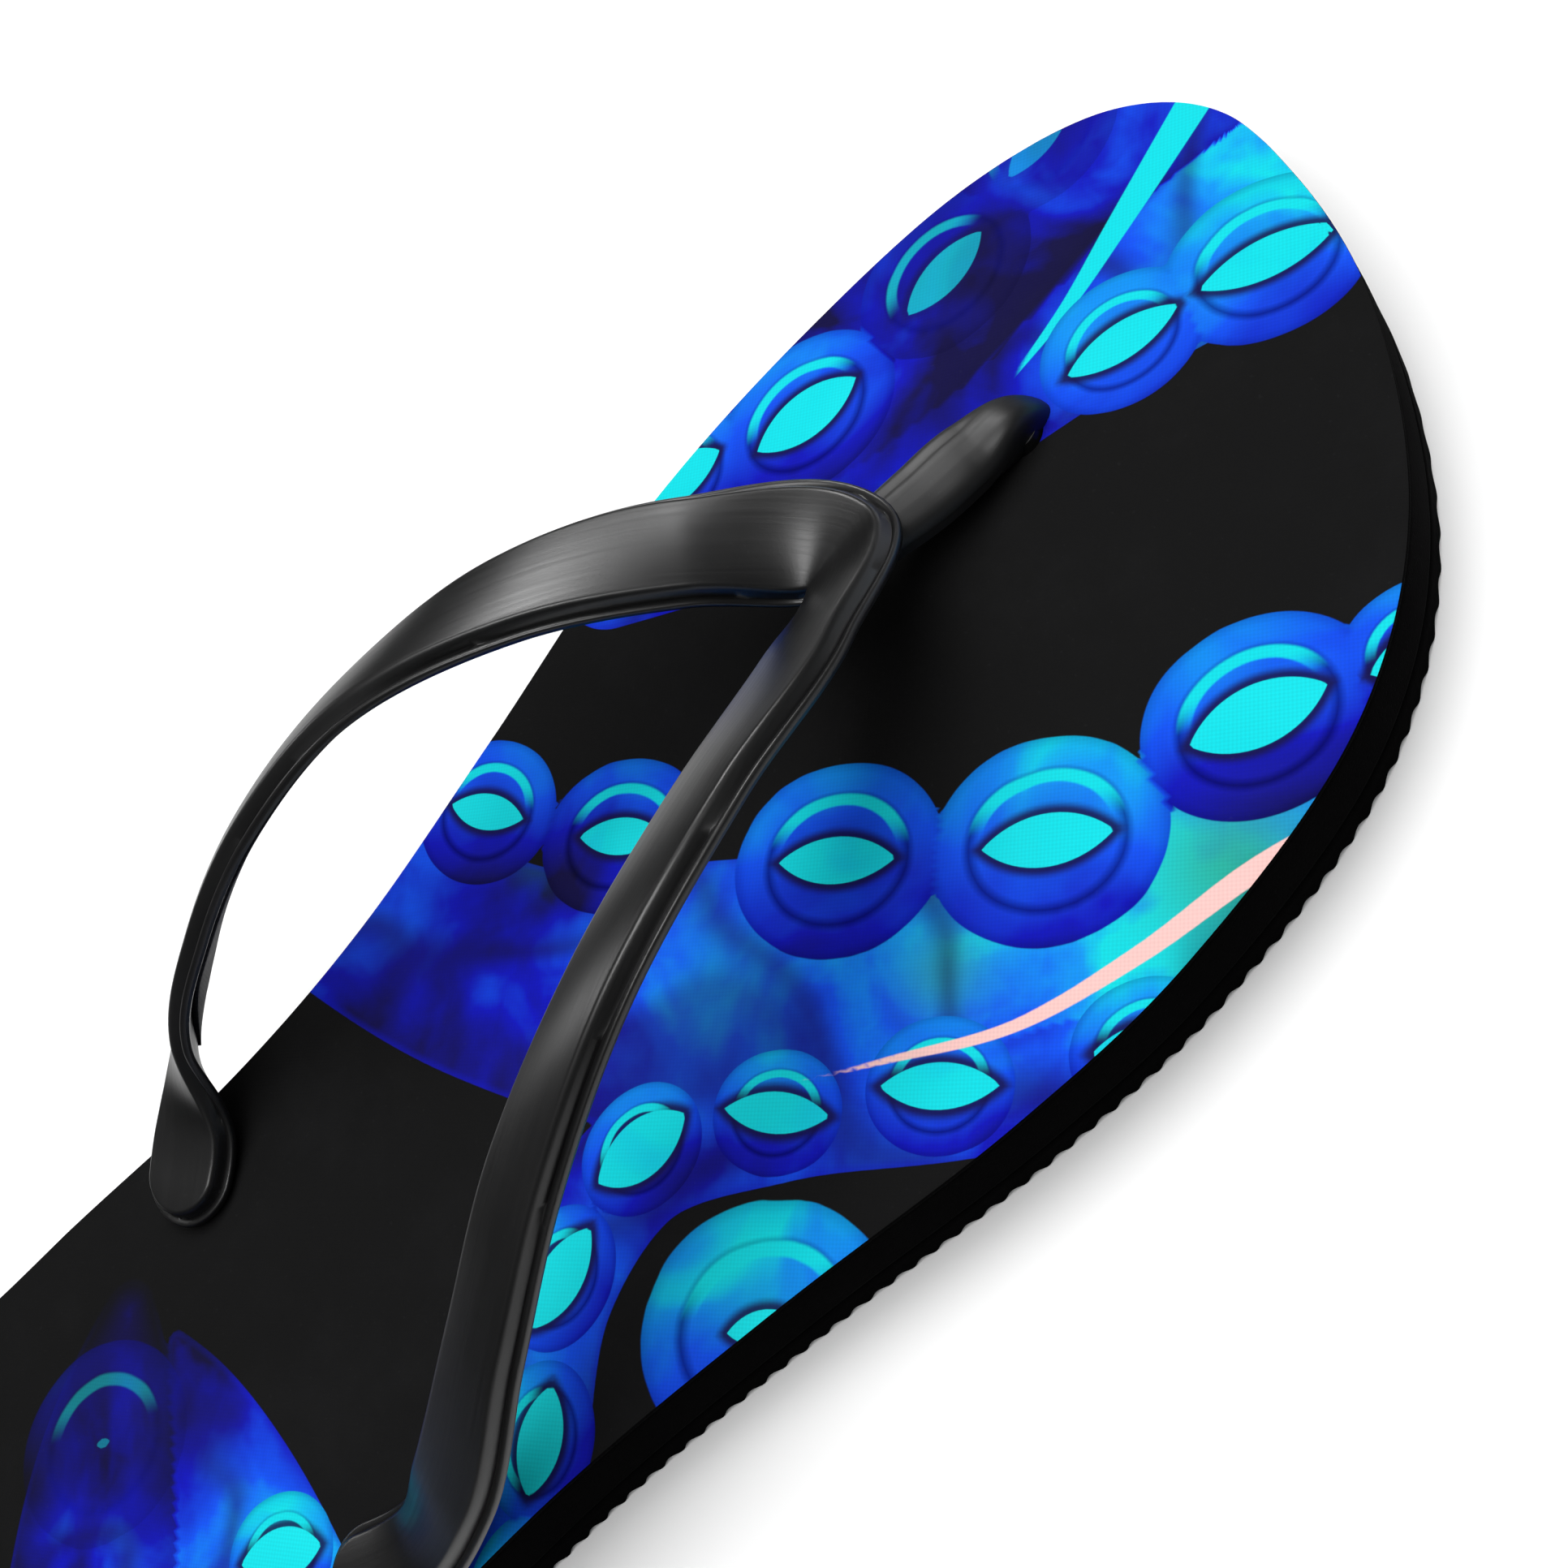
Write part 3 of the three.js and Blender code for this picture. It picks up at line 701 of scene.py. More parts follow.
# discs on the ribbons: x, y, radius, long-axis angle in degrees, lens half length, lens half width, tone
printDiscs = [
    (-40, 124, 10.5, 96, 6.2, 2.4, 0.02), (-37, 104, 11.5, 90, 6.8, 2.9, 0.08),
    (-38.8, 80, 12.0, 74, 7.8, 3.6, 0.36),
    (-49, 62, 11.0, 70, 8.0, 3.8, 0.50), (-1.5, 126, 11.5, 60, 8.2, 2.7, 0.62),
    (-9, 109.5, 9.6, 70, 7.4, 2.6, 0.56),
    (45, 102, 8.5, 66, 6.0, 2.6, 0.28), (36.5, 86.5, 12.0, 64, 7.6, 3.5, 0.34),
    (28.3, 62.6, 12.8, 48, 7.6, 3.0, 0.50),
    (10.1, 44.6, 12.6, 42, 7.6, 2.8, 0.40), (-15.7, 27.2, 11.0, 40, 6.4, 2.4, 0.24),
    (-35.1, 15.6, 10.5, 30, 6.4, 2.4, 0.30),
    (-54, 9, 9.5, 30, 6.0, 3.0, 0.3), (53, 55, 8.0, 48, 6.2, 2.6, 0.5),
    (38.8, 36.5, 8.0, 44, 7.0, 2.5, 0.48),
    (26.6, 21, 7.6, 40, 6.8, 2.3, 0.45), (16.9, 6.1, 7.8, 80, 6.7, 3.5, 0.42),
    (20.6, -10.6, 7.9, 104, 6.6, 3.1, 0.42),
    (32.8, -22.9, 8.0, 128, 5.9, 3.0, 0.45), (44.5, -34, 8.4, 120, 6.2, 3.0, 0.5),
    (43, 5.5, 14.5, 55, 4.4, 1.8, 0.52),
    (-13, -75, 13.5, 60, 1.2, 0.6, 0.0), (18, -58.5, 7.6, 60, 6.2, 3.0, 0.5),
    (35, -68, 8.6, 50, 6.4, 3.2, 0.5),
    (28, -98, 9.5, 20, 7.0, 3.4, 0.5), (-6, -108, 9.2, 120, 6.8, 3.2, 0.5),
    (2, -127, 9.0, 100, 6.4, 3.2, 0.5),
]
# pale lines: points (x, y, half width)
printLines = {
    "lowerEdge": [
        (51, 84, 1.1), (48.1, 75, 1.25), (45.2, 61, 1.0), (40.4, 46.5, 0.7), (32, 33.8, 0.4),
        (26, 25, 0.15),
    ],
    "toeStrip": [(-25.6, 140, 2.5), (-21.0, 120, 1.6), (-18.6, 109, 0.9), (-17.6, 98, 0.2)],
}
# green glow: x, y, reach, amount
printGlow = [(46, 74, 9, 0.8), (20, 53, 4, 1.0), (30, 45, 5, 0.6), (-24, 20, 4, 0.6), (44, 96, 3.5, 0.7)]


# Signed distance to the nearest ribbon, below zero inside, and that ribbon's tone, which lifts
# towards its middle. A ribbon is the union of discs strung along a smooth path.
def ribbonField(x, y):
    nearest = np.full_like(x, 1e3)
    tone = np.zeros_like(x)
    for points in printRibbons.values():
        for px, py, radius, ownTone in smoothPath(points, 90):
            distance = np.hypot(x - px, y - py) - radius
            closer = distance < nearest
            nearest = np.where(closer, distance, nearest)
            tone = np.where(closer, ownTone + 0.16 * np.clip(-distance / radius, 0, 1), tone)
    return nearest, tone


# For the nearest disc: the share of its radius (1 at its rim), its tone, the signed distance to its
# lens in millimetres, and how far a place lies to the disc's upper side, -1 to 1.
def discField(x, y):
    share = np.full_like(x, 9.0)
    tone, lens, side = np.zeros_like(x), np.full_like(x, 9.0), np.zeros_like(x)
    for px, py, radius, angle, half, width, ownTone in printDiscs:
        a = math.radians(angle)
        u = (x - px) * math.cos(a) + (y - py) * math.sin(a)
        v = -(x - px) * math.sin(a) + (y - py) * math.cos(a)
        own = np.hypot(u / (radius * 1.08), v / (radius * 0.92))
        bow = (half**2 - width**2) / (2 * width)  # two arcs of this radius plus width meet at the lens's ends
        ownLens = np.hypot(u, np.abs(v) + bow) - (bow + width)
        closer = own < share
        share = np.where(closer, own, share)
        tone = np.where(closer, ownTone, tone)
        lens = np.where(closer, ownLens, lens)
        side = np.where(closer, v / radius, side)
    return share, tone, lens, side


# Signed distance to a line whose half width changes along it.
def lineField(x, y, points):
    nearest = np.full_like(x, 1e3)
    for px, py, half in smoothPath(points, 120):
        nearest = np.minimum(nearest, np.hypot(x - px, y - py) - half)
    return nearest


# The top sinks a little round each hole: -depth * exp(-(distance/reach)^2).
def coverDimple(x, y, z):
    top = (z > coverHigh[2] - 0.3).astype(float)
    sink = np.zeros_like(x)
    for px, py in stemPlaces:
        sink += np.exp(-(((x - px) ** 2 + (y - py) ** 2) / coverLook["dimpleReach"] ** 2))
    return -coverLook["dimple"] * sink * top


def makeCover():
    low, high = coverLow[2], coverHigh[2]
    levels = [(0.05, low), (0.0, low + 0.1), (0.0, high - 0.14), (0.04, high - 0.04), (0.14, high)]
    cover = soleLayer("printedCover", levels, 130, 10, 0.7, coverDimple, 60)
    cutHoles(cover, low, high)

    mesh = cover.data
    x, y, z = pointsMm(mesh).T
    ribbon, tone = ribbonField(x, y)
    share, discTone, lens, side = discField(x, y)
    glow = np.zeros_like(x)
    for px, py, reach, amount in printGlow:
        glow = np.maximum(glow, amount * np.exp(-((x - px) ** 2 + (y - py) ** 2) / reach**2))
    fields = {
        "ribbon": ribbon,
        "tone": tone,
        "disc": share,
        "discTone": discTone,
        "lens": lens,
        "discSide": side,
        "paleEdge": lineField(x, y, printLines["lowerEdge"]),
        "toeStrip": lineField(x, y, printLines["toeStrip"]),
        "glow": glow,
    }
    for name, values in fields.items():
        attribute = mesh.attributes.new(name, "FLOAT", "POINT")
        attribute.data.foreach_set("value", values.astype(np.float32))

    # the wall and the underside are bare black cloth
    normals = np.empty(len(mesh.polygons) * 3)
    mesh.polygons.foreach_get("normal", normals)
    up = normals.reshape(-1, 3)[:, 2] > 0.6
    mesh.materials.clear()
    mesh.materials.append(makePrintMaterial())
    mesh.materials.append(makeCoverEdgeMaterial())
    mesh.polygons.foreach_set("material_index", np.where(up, 0, 1).astype(np.int32))
    finish(cover, None, "printed_top_cover")


def makePrintMaterial():
    look = coverLook
    material, tree, shader, place = newMaterial("printedPolyester")

    def field(name):
        return addNode(tree, "ShaderNodeAttribute", attribute_name=name).outputs["Fac"]

    def inside(value, at=0.0, soft=0.07):  # 1 where value is below at
        return rangeNode(tree, value, at - soft, at + soft, 1.0, 0.0)

    def plus(a, b):
        return mathNode(tree, "ADD", a, b)

    def times(a, b):
        return mathNode(tree, "MULTIPLY", a, b)

    def centred(noise):
        return mathNode(tree, "SUBTRACT", noise, 0.5)

    blot = noiseNode(tree, place, 48.0, 3, 0.42, 0.9)
    fleck = noiseNode(tree, place, 230.0, 2, 0.45, 1.2)
    fold = noiseNode(tree, place, 22.0, 1, 0.4, 1.2)
    wander = centred(blot)

    # ribbons, from navy to cyan by tone and blot
    ribbon, ribbonTone = field("ribbon"), field("tone")
    tone = plus(plus(ribbonTone, times(wander, 1.25)), times(centred(fleck), 0.14))
    names = {0.05: "navy", 0.34: "deepBlue", 0.60: "blue", 0.84: "azure", 1.0: "cyan"}
    stops = [(position, look[name]) for position, name in names.items()]
    ribbonColour = rampNode(tree, tone, stops)
    ribbonColour = mixNode(tree, field("glow"), ribbonColour, look["leaf"])
    # dark folds where a slow noise crosses its middle
    foldMask = rangeNode(tree, mathNode(tree, "ABSOLUTE", centred(fold)), 0.0, 0.10, 0.55, 0.0)
    ribbonColour = mixNode(tree, foldMask, ribbonColour, look["navy"])
    ribbonEdge = rangeNode(tree, ribbon, -1.1, 0.0, 0.0, 0.45)
    ribbonColour = mixNode(tree, ribbonEdge, ribbonColour, look["deepBlue"])
    ground = rampNode(tree, blot, [(0.35, look["ground"]), (0.8, look["groundLight"])])
    # the darkest ribbons fade into the ground
    ribbonMask = times(inside(ribbon), rangeNode(tree, ribbonTone, 0.02, 0.2, 0.0, 1.0))
    colour = mixNode(tree, ribbonMask, ground, ribbonColour)
    # the pale strip
    colour = mixNode(tree, inside(field("toeStrip"), 0.0, 0.1), colour, look["cyan"])

    # discs: a rim, a dark ring, a bowl, and a lens in a dark groove
    share, side, ownTone, lens = field("disc"), field("discSide"), field("discTone"), field("lens")
    share = plus(share, times(wander, 0.10))
    discTone = plus(plus(plus(ownTone, times(wander, 0.8)), times(side, 0.34)), 0.10)
    body = rampNode(tree, discTone, stops)
    discColour = mixNode(tree, 1.0, body, rampNode(tree, share, discShades), "MULTIPLY")
    groove = rangeNode(tree, lens, 0.3, 1.5, 0.92, 0.0)
    discColour = mixNode(tree, groove, discColour, look["navy"])
    lensStops = [(0.30, look["lensDeep"]), (0.45, look["cyan"]), (0.75, look["lensPale"])]
    discColour = mixNode(tree, inside(lens), discColour, rampNode(tree, blot, lensStops))
    # a bright crescent between the bowl and the dark ring, on the upper side
    crescent = times(
        rangeNode(tree, share, 0.545, 0.575, 0.0, 1.0),
        times(rangeNode(tree, share, 0.665, 0.70, 1.0, 0.0), rangeNode(tree, side, 0.12, 0.42, 0.0, 1.0)),
    )
    discColour = mixNode(tree, crescent, discColour, look["cyan"])
    discMask = times(inside(share, 1.0, 0.008), rangeNode(tree, ownTone, 0.0, 0.2, 0.25, 1.0))
    colour = mixNode(tree, discMask, colour, discColour)
    colour = mixNode(tree, inside(field("paleEdge"), 0.0, 0.1), colour, look["blush"])

    weave = useGroup(tree, fineWeave, place, Threads=3200.0, Slub=0.35)
    thread = weave.outputs["Thread"]
    # the weave's low places are darkened a little: painted shade in the hollows between threads
    colour = mixNode(tree, rangeNode(tree, thread, 0.0, 1.0, 0.10, 0.0), colour, (0.0, 0.0, 0.0))
    dust = useGroup(tree, lightDust, place, Amount=0.012)
    colour = mixNode(tree, dust.outputs["Dust"], colour, look["dust"])
    paint(tree, shader, colour, rangeNode(tree, thread, 0.0, 1.0, 0.80, 0.92), 0.03)
    bumpInto(tree, shader, weave.outputs["Height"], 0.25, 0.00008)
    return material


def makeCoverEdgeMaterial():
    material, tree, shader, place = newMaterial("coverEdge")
    weave = useGroup(tree, fineWeave, place, Threads=3200.0, Slub=0.6)
    # darker where the weave is low, lighter where it is high: painted shade in the hollows between threads,
    # with the slub's random tone mixed in
    stops = [(0.2, (0.0005, 0.0005, 0.0005)), (1.0, (0.0014, 0.0014, 0.0015))]
    base = rampNode(tree, weave.outputs["Height"], stops)
    paint(tree, shader, base, rangeNode(tree, weave.outputs["Thread"], 0, 1, 0.85, 0.95), 0.01)
    bumpInto(tree, shader, weave.outputs["Height"], 0.3, 0.0001)
    return material


# strap

strapLook = {
    "turn": 3.4,
    "thickness": 3.6,
    "flange": 1.2,
    "lipRound": 0.4,
    "rise": 1.75,
    "shelf": 1.1,
    "crease": 0.14,
    "creaseWidth": 0.26,
    "shoulder": 0.85,
    "crown": 0.25,
    "noseReachMedial": 1.55,
    "noseReachLateral": 1.15,
    "curlOutShare": 0.5,
    "notch": (0, -30.57, 10.5),
    "nose": (0, -16.04, 11.9),
    "tipFine": 9.0,
    "seat": 0.35,
    "seatStart": (20, 26),
    "seatEnd": (-120, -114),
    "black": (0.0036, 0.0036, 0.0037),
    "lightBlack": (0.0052, 0.0052, 0.0054),
    "dusty": (0.10, 0.10, 0.105),
    "smoothest": 0.22,
}
# stations from the middle of the nose down one branch, from the toe hole: out, back, height over the
# cover, width, lean of the big-toe branch, lean of the little-toe branch, how much further out and back
# the little-toe branch stands, and how far the big-toe branch's outer edge curls up
strapStations = np.array(
    [
        [0.0, 22.0, 13.2, 13.8, 0.00, 0.00, 0.0, 0.0, 0.0],
        [11.6, 34.6, 19.7, 14.8, 0.00, -0.40, 0.0, 0.0, 0.0],
        [20.4, 51.3, 28.2, 13.2, 0.10, -0.45, 0.0, 0.0, 0.0],
        [27.2, 72.0, 31.2, 11.0, 0.55, -0.30, 0.2, 0.2, 0.0],
        [31.8, 90.7, 27.6, 10.8, 0.60, -0.05, 0.6, 1.0, 0.0],
        [35.0, 106.4, 20.5, 11.4, 0.60, 0.00, 1.5, 2.0, 0.3],
        [35.6, 122.6, 10.6, 12.2, 0.70, 0.20, 2.8, 2.9, 0.5],
        [29.1, 133.2, 2.7, 12.0, 0.10, 0.00, 6.2, 5.1, 2.8],
        [22.7, 142.8, 2.1, 11.6, 0.00, 0.00, 6.8, 6.7, 0.8],
    ]
)


# Strap frame to the part's frame: turned about the toe hole, standing on the cover.
def strapToRow(points):
    a = math.radians(strapLook["turn"])
    x, y, z = points[..., 0], points[..., 1], points[..., 2]
    turnedX = math.cos(a) * x - math.sin(a) * y
    turnedY = math.sin(a) * x + math.cos(a) * y
    return np.stack([turnedX + toeHole[0], turnedY + toeHole[1], z + soleTop], -1)


# Inner and outer edge at each station: the middle minus and plus half the width along a direction
# across the branch, which leans by the station's angle. In the middle they are the notch and the nose.
def branchEdges(side):
    out, back, up, width, medial, lateral, outMore, backMore, curl = strapStations.T
    more = 1 if side > 0 else 0
    centre = np.stack([side * (out + more * outMore), -back - more * backMore, up], 1)
    knots = runAlong(centre)
    along = unit(finiteTangents(knots, centre))
    upward = unit(np.array([0, 0, 1.0]) - along * along[:, 2:3])
    outward = np.cross(along, upward)
    outward *= np.sign(outward[:, :1] * side + 1e-9)
    lean = (lateral if side > 0 else medial)[:, None]
    across = outward * np.cos(lean) - upward * np.sin(lean)
    inner = centre - across * width[:, None] / 2
    rise = (curl if side < 0 else curl * 0)[:, None]
    outer = centre + across * (width[:, None] / 2 + rise * strapLook["curlOutShare"]) + upward * rise
    inner[0], outer[0] = strapLook["notch"], strapLook["nose"]
    return knots, inner, outer


# Rows down one branch: distance from the middle, mid point, unit directions across and out of the
# upper face, and width. The outer edge runs straight over the middle; the inner one has a notch.
def branchFrames(side):
    knots, inner, outer = branchEdges(side)
    innerSlope, outerSlope = finiteTangents(knots, inner), finiteTangents(knots, outer)
    reach = strapLook["noseReachLateral"] if side > 0 else strapLook["noseReachMedial"]
    outerSlope[0] = (side * reach, 0, 0)
    innerSlope[0, 2] = 0
    fine = np.linspace(0, knots[-1], 1500)
    middle = (hermite(knots, inner, innerSlope, fine) + hermite(knots, outer, outerSlope, fine)) / 2
    run = runAlong(middle)
    tip = strapLook["tipFine"]
    nearTip = run[-1] - tip * (1 - np.linspace(0, 1, 49)[1:]) ** 1.1
    rows = np.r_[np.linspace(0, run[-1] - tip, 170), nearTip]
    at = np.interp(rows, run, fine)
    a, b = hermite(knots, inner, innerSlope, at), hermite(knots, outer, outerSlope, at)
    width = np.linalg.norm(b - a, axis=1)
    across = (b - a) / width[:, None]
    along = np.gradient((a + b) / 2, rows, axis=0)
    along[0] = (side, 0, 0)
    normal = unit(np.cross(along, across) * side)
    normal[0, 0] = 0
    return rows, (a + b) / 2, across, normal, width


# Points a across and h out of the upper face at each row.
def sectionPoints(middle, across, normal, a, h):
    return middle[:, None] + across[:, None] * a[..., None] + normal[:, None] * h[..., None]


# One branch as rings. Its upper face's height depends on the distance to the edge: a rounded lip, a
# flat shelf, a fine crease, a quarter-round shoulder and a crowned panel. The foot's end is half an
# ellipse: the half width times sqrt(1 - gone^2), with gone the share of the tip's length that is past.
def bandGrid(side):
    look = strapLook
    rows, middle, across, normal, width = branchFrames(side)
    half = (width / 2)[:, None]
    tip = half[-1, 0]
    past = np.maximum(rows - (rows[-1] - tip), 0)[:, None]
    gone = past / tip
    chord = half * np.sqrt(np.clip(1 - gone**2, 0.0006, None))
    u = np.sin(np.linspace(-1, 1, 57) * np.pi / 2) * 0.6 + np.linspace(-1, 1, 57) * 0.4
    a = chord * u
    edge = np.clip(half * (1 - np.sqrt(gone**2 + (a / half) ** 2)), 0, None)
    low = -look["thickness"] / 2
    lip = look["lipRound"]
    roundOff = np.sqrt(np.clip(lip**2 - np.clip(lip - edge, 0, None) ** 2, 0, None))
    height = low + look["flange"] - lip + roundOff
    height -= look["crease"] * np.exp(-(((edge - look["shelf"]) / look["creaseWidth"]) ** 2))
    shoulder = np.clip((edge - look["shelf"]) / look["shoulder"], 0, 1)
    height += look["rise"] * np.sqrt(np.clip(1 - (1 - shoulder) ** 2, 0, 1))
    inset = look["shelf"] + look["shoulder"]
    middleShare = np.clip((edge - inset) / np.maximum(half - inset, 0.5), 0, 1)
    height += look["crown"] * (1 - (1 - middleShare) ** 2)
    top = sectionPoints(middle, across, normal, a, height)
    # the underside, drawn in a little, its edges raised, with a shallow seat for the lining
    ub = np.sin(np.linspace(1, -1, 25) * np.pi / 2)
    begins, ends = smoothStep(rows, *look["seatStart"]), smoothStep(-rows, *look["seatEnd"])
    seat = look["seat"] * smoothStep(1 - np.abs(ub), 0.14, 0.20) * begins[:, None] * ends[:, None]
    under = low + look["seat"] * (np.abs(ub) > 0.99) + seat
    bottom = sectionPoints(middle, across, normal, chord * ub * 0.985, under)
    return np.concatenate([top, bottom], 1), rows, np.concatenate([u, ub]), chord


stemLook = {
    "below": 1.1,
    "headRadius": 4.4,
    "headRound": 0.4,
    "shankRadius": 3.0,
    "topRadius": 2.6,
    "pole": 0.05,
    "intoStrap": 0.9,
    "intoPost": 1.2,
}


# A stem from its flat head below disc k up to a place inside the strap or the post.
def stemGrid(k, intoPiece):
    look = stemLook
    head = discBoxes[k][0][2] - look["below"]
    top = soleTop + intoPiece
    pole, wide, shank = look["pole"], look["headRadius"], look["shankRadius"]
    profile = [(pole, head), (wide - look["headRound"], head), (wide, head + 0.35), (wide, head + 0.75)]
    profile += [(shank, head + 1.0), (shank, top - 0.1), (look["topRadius"], top), (pole, top)]
    return turnedGrid(profile, stemPlaces[k], 48)


def makeStrap():
    medial, lateral = bandGrid(-1), bandGrid(1)
    band = np.concatenate([medial[0][::-1], lateral[0][1:]], 0)
    run = np.r_[-medial[1][::-1], lateral[1][1:]]
    stems = [stemGrid(k, stemLook["intoStrap"]) for k in (1, 2)]
    strap = tubeObject("vStrap", [strapToRow(band)] + stems, 55)

    # u is the distance along the band, v the place across it
    u = np.repeat(run[:, None], band.shape[1], 1)
    v = medial[2][None, :] * np.r_[medial[3][::-1], lateral[3][1:]]
    writeUv(strap, "alongBand", u, v)
    finish(strap, makeStrapMaterial("mouldedStrap", "alongBand", strapLook["smoothest"]), "strap")


# Glossy moulded rubber: fine streaks run with the piece, over a fine grain.
def makeStrapMaterial(name, uvName, smoothest):
    look = strapLook
    material, tree, shader, place = newMaterial(name)
    uv = addNode(tree, "ShaderNodeUVMap", uv_map=uvName).outputs[0]
    streak = noiseNode(tree, mappingNode(tree, uv, (3.0, 190.0, 1.0)), 1.0, 4, 0.6)
    broadStreak = noiseNode(tree, mappingNode(tree, uv, (1.2, 40.0, 1.0)), 1.0, 2, 0.5)
    grain = useGroup(tree, mouldedGrain, place, Scale=3200.0, Depth=0.25)
    dust = useGroup(tree, lightDust, place, Amount=0.04)
    base = rampNode(tree, grain.outputs["Patches"], [(0.3, look["black"]), (0.8, look["lightBlack"])])
    base = mixNode(tree, dust.outputs["Dust"], base, look["dusty"])
    sheen = mathNode(tree, "MULTIPLY", streak, 0.20)
    sheen = mathNode(tree, "ADD", sheen, mathNode(tree, "MULTIPLY", broadStreak, 0.08))
    paint(tree, shader, base, mathNode(tree, "ADD", sheen, smoothest), 0.5)
    height = mathNode(tree, "ADD", mathNode(tree, "MULTIPLY", streak, 0.6), grain.outputs["Height"])
    bumpInto(tree, shader, height, 0.34, 0.00007)
    return material


# toe post

postLook = {
    "path": [(0.9, -1.6), (-0.3, 1.2), (-5.4, 4.0), (-13.0, 6.0), (-21.0, 8.6)],
    "halfWidths": [(0.0, 2.2), (0.12, 2.9), (0.26, 3.7), (0.45, 4.2), (0.68, 4.1), (1.0, 3.3)],
    "halfDepth": 3.0,
    "rootDepth": 4.2,
    "cornerAcross": 0.6,
    "cornerUp": 0.62,
    "ridge": -0.35,
    "slope": 0.62,
    "smoothest": 0.33,
    "groove": 0.17,
    "grooveAt": 106,
    "grooveReach": 17,
}


# A squared-off oval, |cos| and |sin| to a power under one, carried along the post's path, deeper at the
# root, with a soft groove along its upper face and one side of that face sloped.
def makeToePost():
    look = postLook
    path = smoothPath(look["path"], 90)
    share = np.linspace(0, 1, len(path))
    along = unit(np.gradient(path, axis=0))
    angle = np.linspace(0, 2 * np.pi, 72, endpoint=False)
    root = smoothStep(0.34 - share, 0, 0.34)
    depth = look["halfDepth"] + (look["rootDepth"] - look["halfDepth"]) * root
    knots, halves = np.array(look["halfWidths"]).T
    half = hermite(knots, halves[:, None], finiteTangents(knots, halves[:, None]), share)[:, 0]
    gap = np.abs((np.degrees(angle) - look["grooveAt"] + 180) % 360 - 180)
    groove = 1 - look["groove"] * np.exp(-((gap / look["grooveReach"]) ** 2))
    fade = smoothStep(share, 0.16, 0.42)[:, None]
    dip = 1 - (1 - groove)[None] * fade
    boxCos, boxSin = squared(np.cos(angle), look["cornerAcross"]), squared(np.sin(angle), look["cornerUp"])
    x = half[:, None] * boxCos * dip
    ridge = look["ridge"]
    fall = look["slope"] * np.clip((boxCos - ridge) / (1 - ridge), 0, 1) * (boxSin > -0.2)
    off = depth[:, None] * (boxSin * dip - fall * fade)
    # the direction out of the upper face, in the plane of the path
    up = np.stack([along[:, 1], -along[:, 0]], 1)
    up *= np.sign(up[:, 1:])
    y = path[:, :1] + up[:, :1] * off
    z = path[:, 1:] + up[:, 1:] * off
    grid = np.stack([x, y, z], -1)
    post = tubeObject("toePost", [strapToRow(grid), stemGrid(0, stemLook["intoPost"])], 55)
    u = np.repeat(runAlong(path)[:, None], len(angle), 1)
    writeUv(post, "alongPost", u, np.repeat(boxCos[None] * halves.max(), len(path), 0))
    finish(post, makeStrapMaterial("mouldedPost", "alongPost", postLook["smoothest"]), "toe_post")


# linings under the strap

liningLook = {
    "inset": 1.9,
    "thickness": 0.7,
    "proud": 0.4,
    "start": 24.0,
    "end": 121.0,
    "roundEnd": 4.0,
    "point": 13.0,
    "flatness": 0.28,
}


# A thin strip under one branch, rounded at its upper end and pointed at its lower one.
def makeLining(side, name, node):
    look = liningLook
    rows, middle, across, normal, width = branchFrames(side)
    keep = (rows >= look["start"]) & (rows <= look["end"])
    rows, middle, across, normal, width = (v[keep] for v in (rows, middle, across, normal, width))
    from0 = np.clip((rows - rows[0]) / look["roundEnd"], 0, 1)
    start = np.sqrt(np.clip(1 - (1 - from0) ** 2, 0.002, 1))
    end = np.clip((rows[-1] - rows) / look["point"], 0.01, 1) ** 0.8
    half = (width / 2 - look["inset"]) * start * end
    angle = np.linspace(0, 2 * np.pi, 48, endpoint=False)
    a = half[:, None] * squared(np.cos(angle), look["flatness"])
    lift = squared(np.sin(angle), look["flatness"]) * look["thickness"] / 2
    base = -strapLook["thickness"] / 2 + look["thickness"] / 2 - look["proud"]
    h = base + lift[None] * np.ones_like(a)
    grid = sectionPoints(middle, across, normal, a, h)
    lining = tubeObject(name, [strapToRow(grid)], 50)
    writeUv(lining, "alongLining", np.repeat(rows[:, None], len(angle), 1), a)
    finish(lining, liningMaterial, node)


def makeLiningMaterial():
    material, tree, shader, place = newMaterial("softLining")
    uv = addNode(tree, "ShaderNodeUVMap", uv_map="alongLining").outputs[0]
    inMetres = mappingNode(tree, uv, (0.1, 0.1, 0.1))
    weave = useGroup(tree, fineWeave, inMetres, Threads=2400.0, Slub=0.5)
    grain = useGroup(tree, mouldedGrain, place, Scale=1200.0, Depth=1.0)
    # darker where the weave is low, lighter where it is high: painted shade in the hollows between threads,
    # with the slub's random tone mixed in
    stops = [(0.1, (0.0030, 0.0030, 0.0031)), (1.0, (0.0100, 0.0100, 0.0104))]
    base = rampNode(tree, weave.outputs["Height"], stops)
    paint(tree, shader, base, rangeNode(tree, grain.outputs["Patches"], 0.3, 0.7, 0.62, 0.8), 0.3)
    bumpInto(tree, shader, weave.outputs["Height"], 0.4, 0.0001)
    return material


# discs under the sole

discLook = {
    "bore": 3.15,
    "boreRound": 0.15,
    "edge": 0.35,
    "steps": 96,
    "dark": (0.012, 0.012, 0.0125),
    "light": (0.017, 0.017, 0.018),
    "smooth": 0.38,
    "rough": 0.55,
}


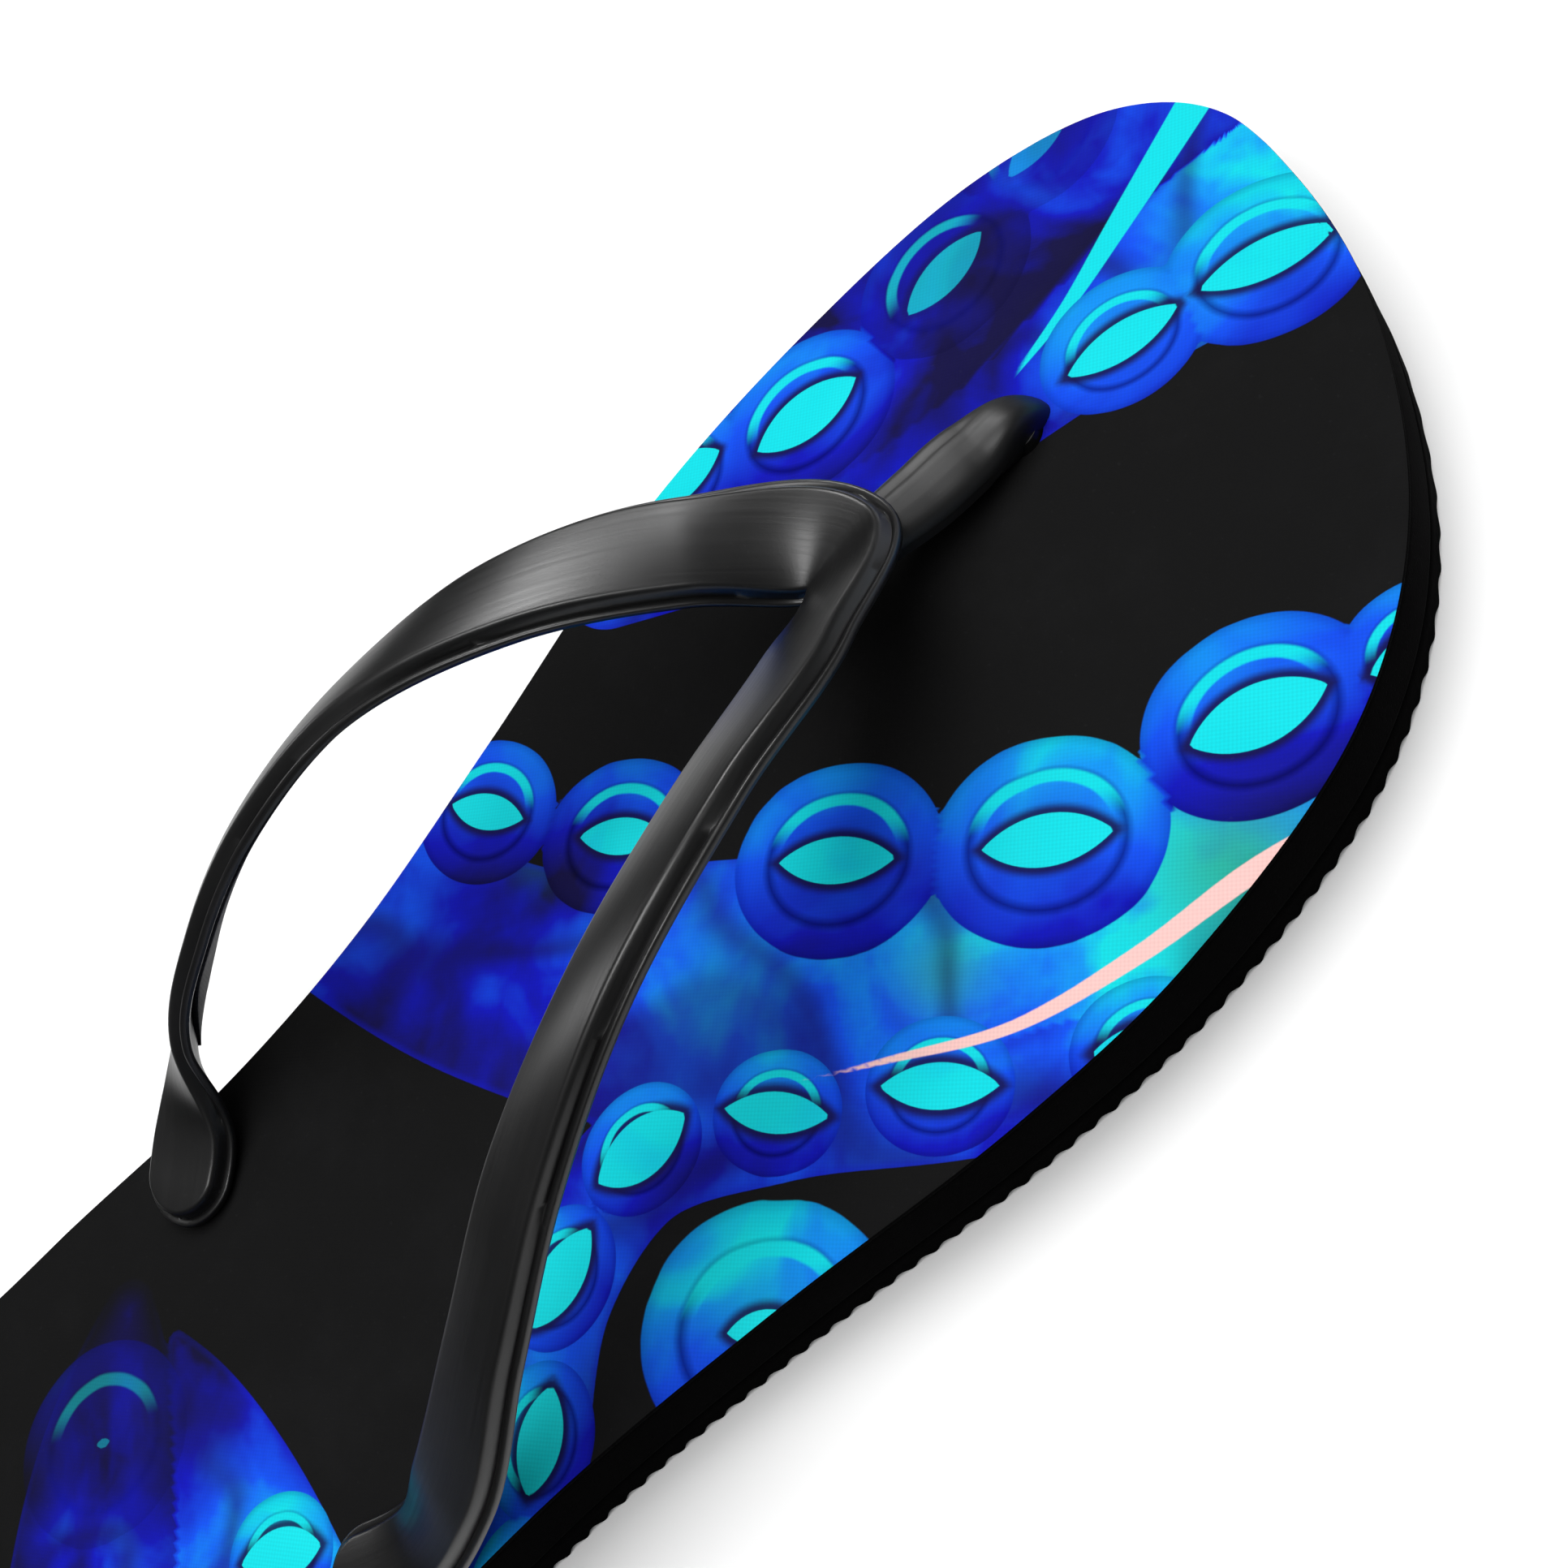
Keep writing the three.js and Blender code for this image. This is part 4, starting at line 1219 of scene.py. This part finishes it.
# A washer with rounded edges, turned from its section.
def makeDisc(name, node, place, low, high):
    radius = (high[0] - low[0]) / 2
    bottom, top = low[2], high[2]
    e, bore, small = discLook["edge"], discLook["bore"], discLook["boreRound"]
    arc = np.linspace(0, np.pi / 2, 5)
    section = [(bore, bottom + small), (bore + small, bottom)]
    section += [(radius - e + e * math.sin(a), bottom + e - e * math.cos(a)) for a in arc]
    section += [(radius - e + e * math.cos(a), top - e + e * math.sin(a)) for a in arc]
    section += [(bore + small, top), (bore, top - small)]
    grid = turnedGrid(section, place, discLook["steps"])
    rows, ring = grid.shape[:2]
    index = np.arange(rows * ring).reshape(rows, ring)
    below = np.roll(index, -1, axis=0)
    faces = np.stack([index, np.roll(index, -1, 1), np.roll(below, -1, 1), below], -1).reshape(-1, 4)
    points = grid.reshape(-1, 3)
    if turnsInside(points - np.array([*place, bottom]), faces):
        faces = faces[:, ::-1]
    disc = meshObject(name, points, faces.tolist(), 40)
    finish(disc, discMaterial, node)


def makeDiscMaterial():
    material, tree, shader, place = newMaterial("discPlastic")
    grain = useGroup(tree, mouldedGrain, place, Scale=2600.0, Depth=0.6)
    base, rough = patchy(tree, grain, discLook)
    paint(tree, shader, base, rough, 0.5)
    bumpInto(tree, shader, grain.outputs["Height"], 0.3, 0.00006)
    return material


# The piece gets its material, rides on the one body and stands for its CAD node, which is hidden.
def finish(thing, material, node):
    if material is not None:
        thing.data.materials.clear()
        thing.data.materials.append(material)
    for used in thing.data.materials:
        layOut(used.node_tree)
    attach(thing, "root")
    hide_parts(node)
    print("made", thing.name, len(thing.data.polygons), "faces")


makeStudio()
mouldedGrain = makeMouldedGrain()
fineWeave = makeFineWeave()
lightDust = makeLightDust()
liningMaterial = makeLiningMaterial()
discMaterial = makeDiscMaterial()
for group in (mouldedGrain, fineWeave, lightDust):
    layOut(group)

makeOutsole()
makeFootbed()
makeCover()
makeStrap()
makeToePost()
makeLining(-1, "medialLining", "medial_strap_lining")
makeLining(1, "lateralLining", "lateral_strap_lining")
for k, name in enumerate(["toeDisc", "medialDisc", "lateralDisc"]):
    makeDisc(name, discNames[k], stemPlaces[k], *discBoxes[k])
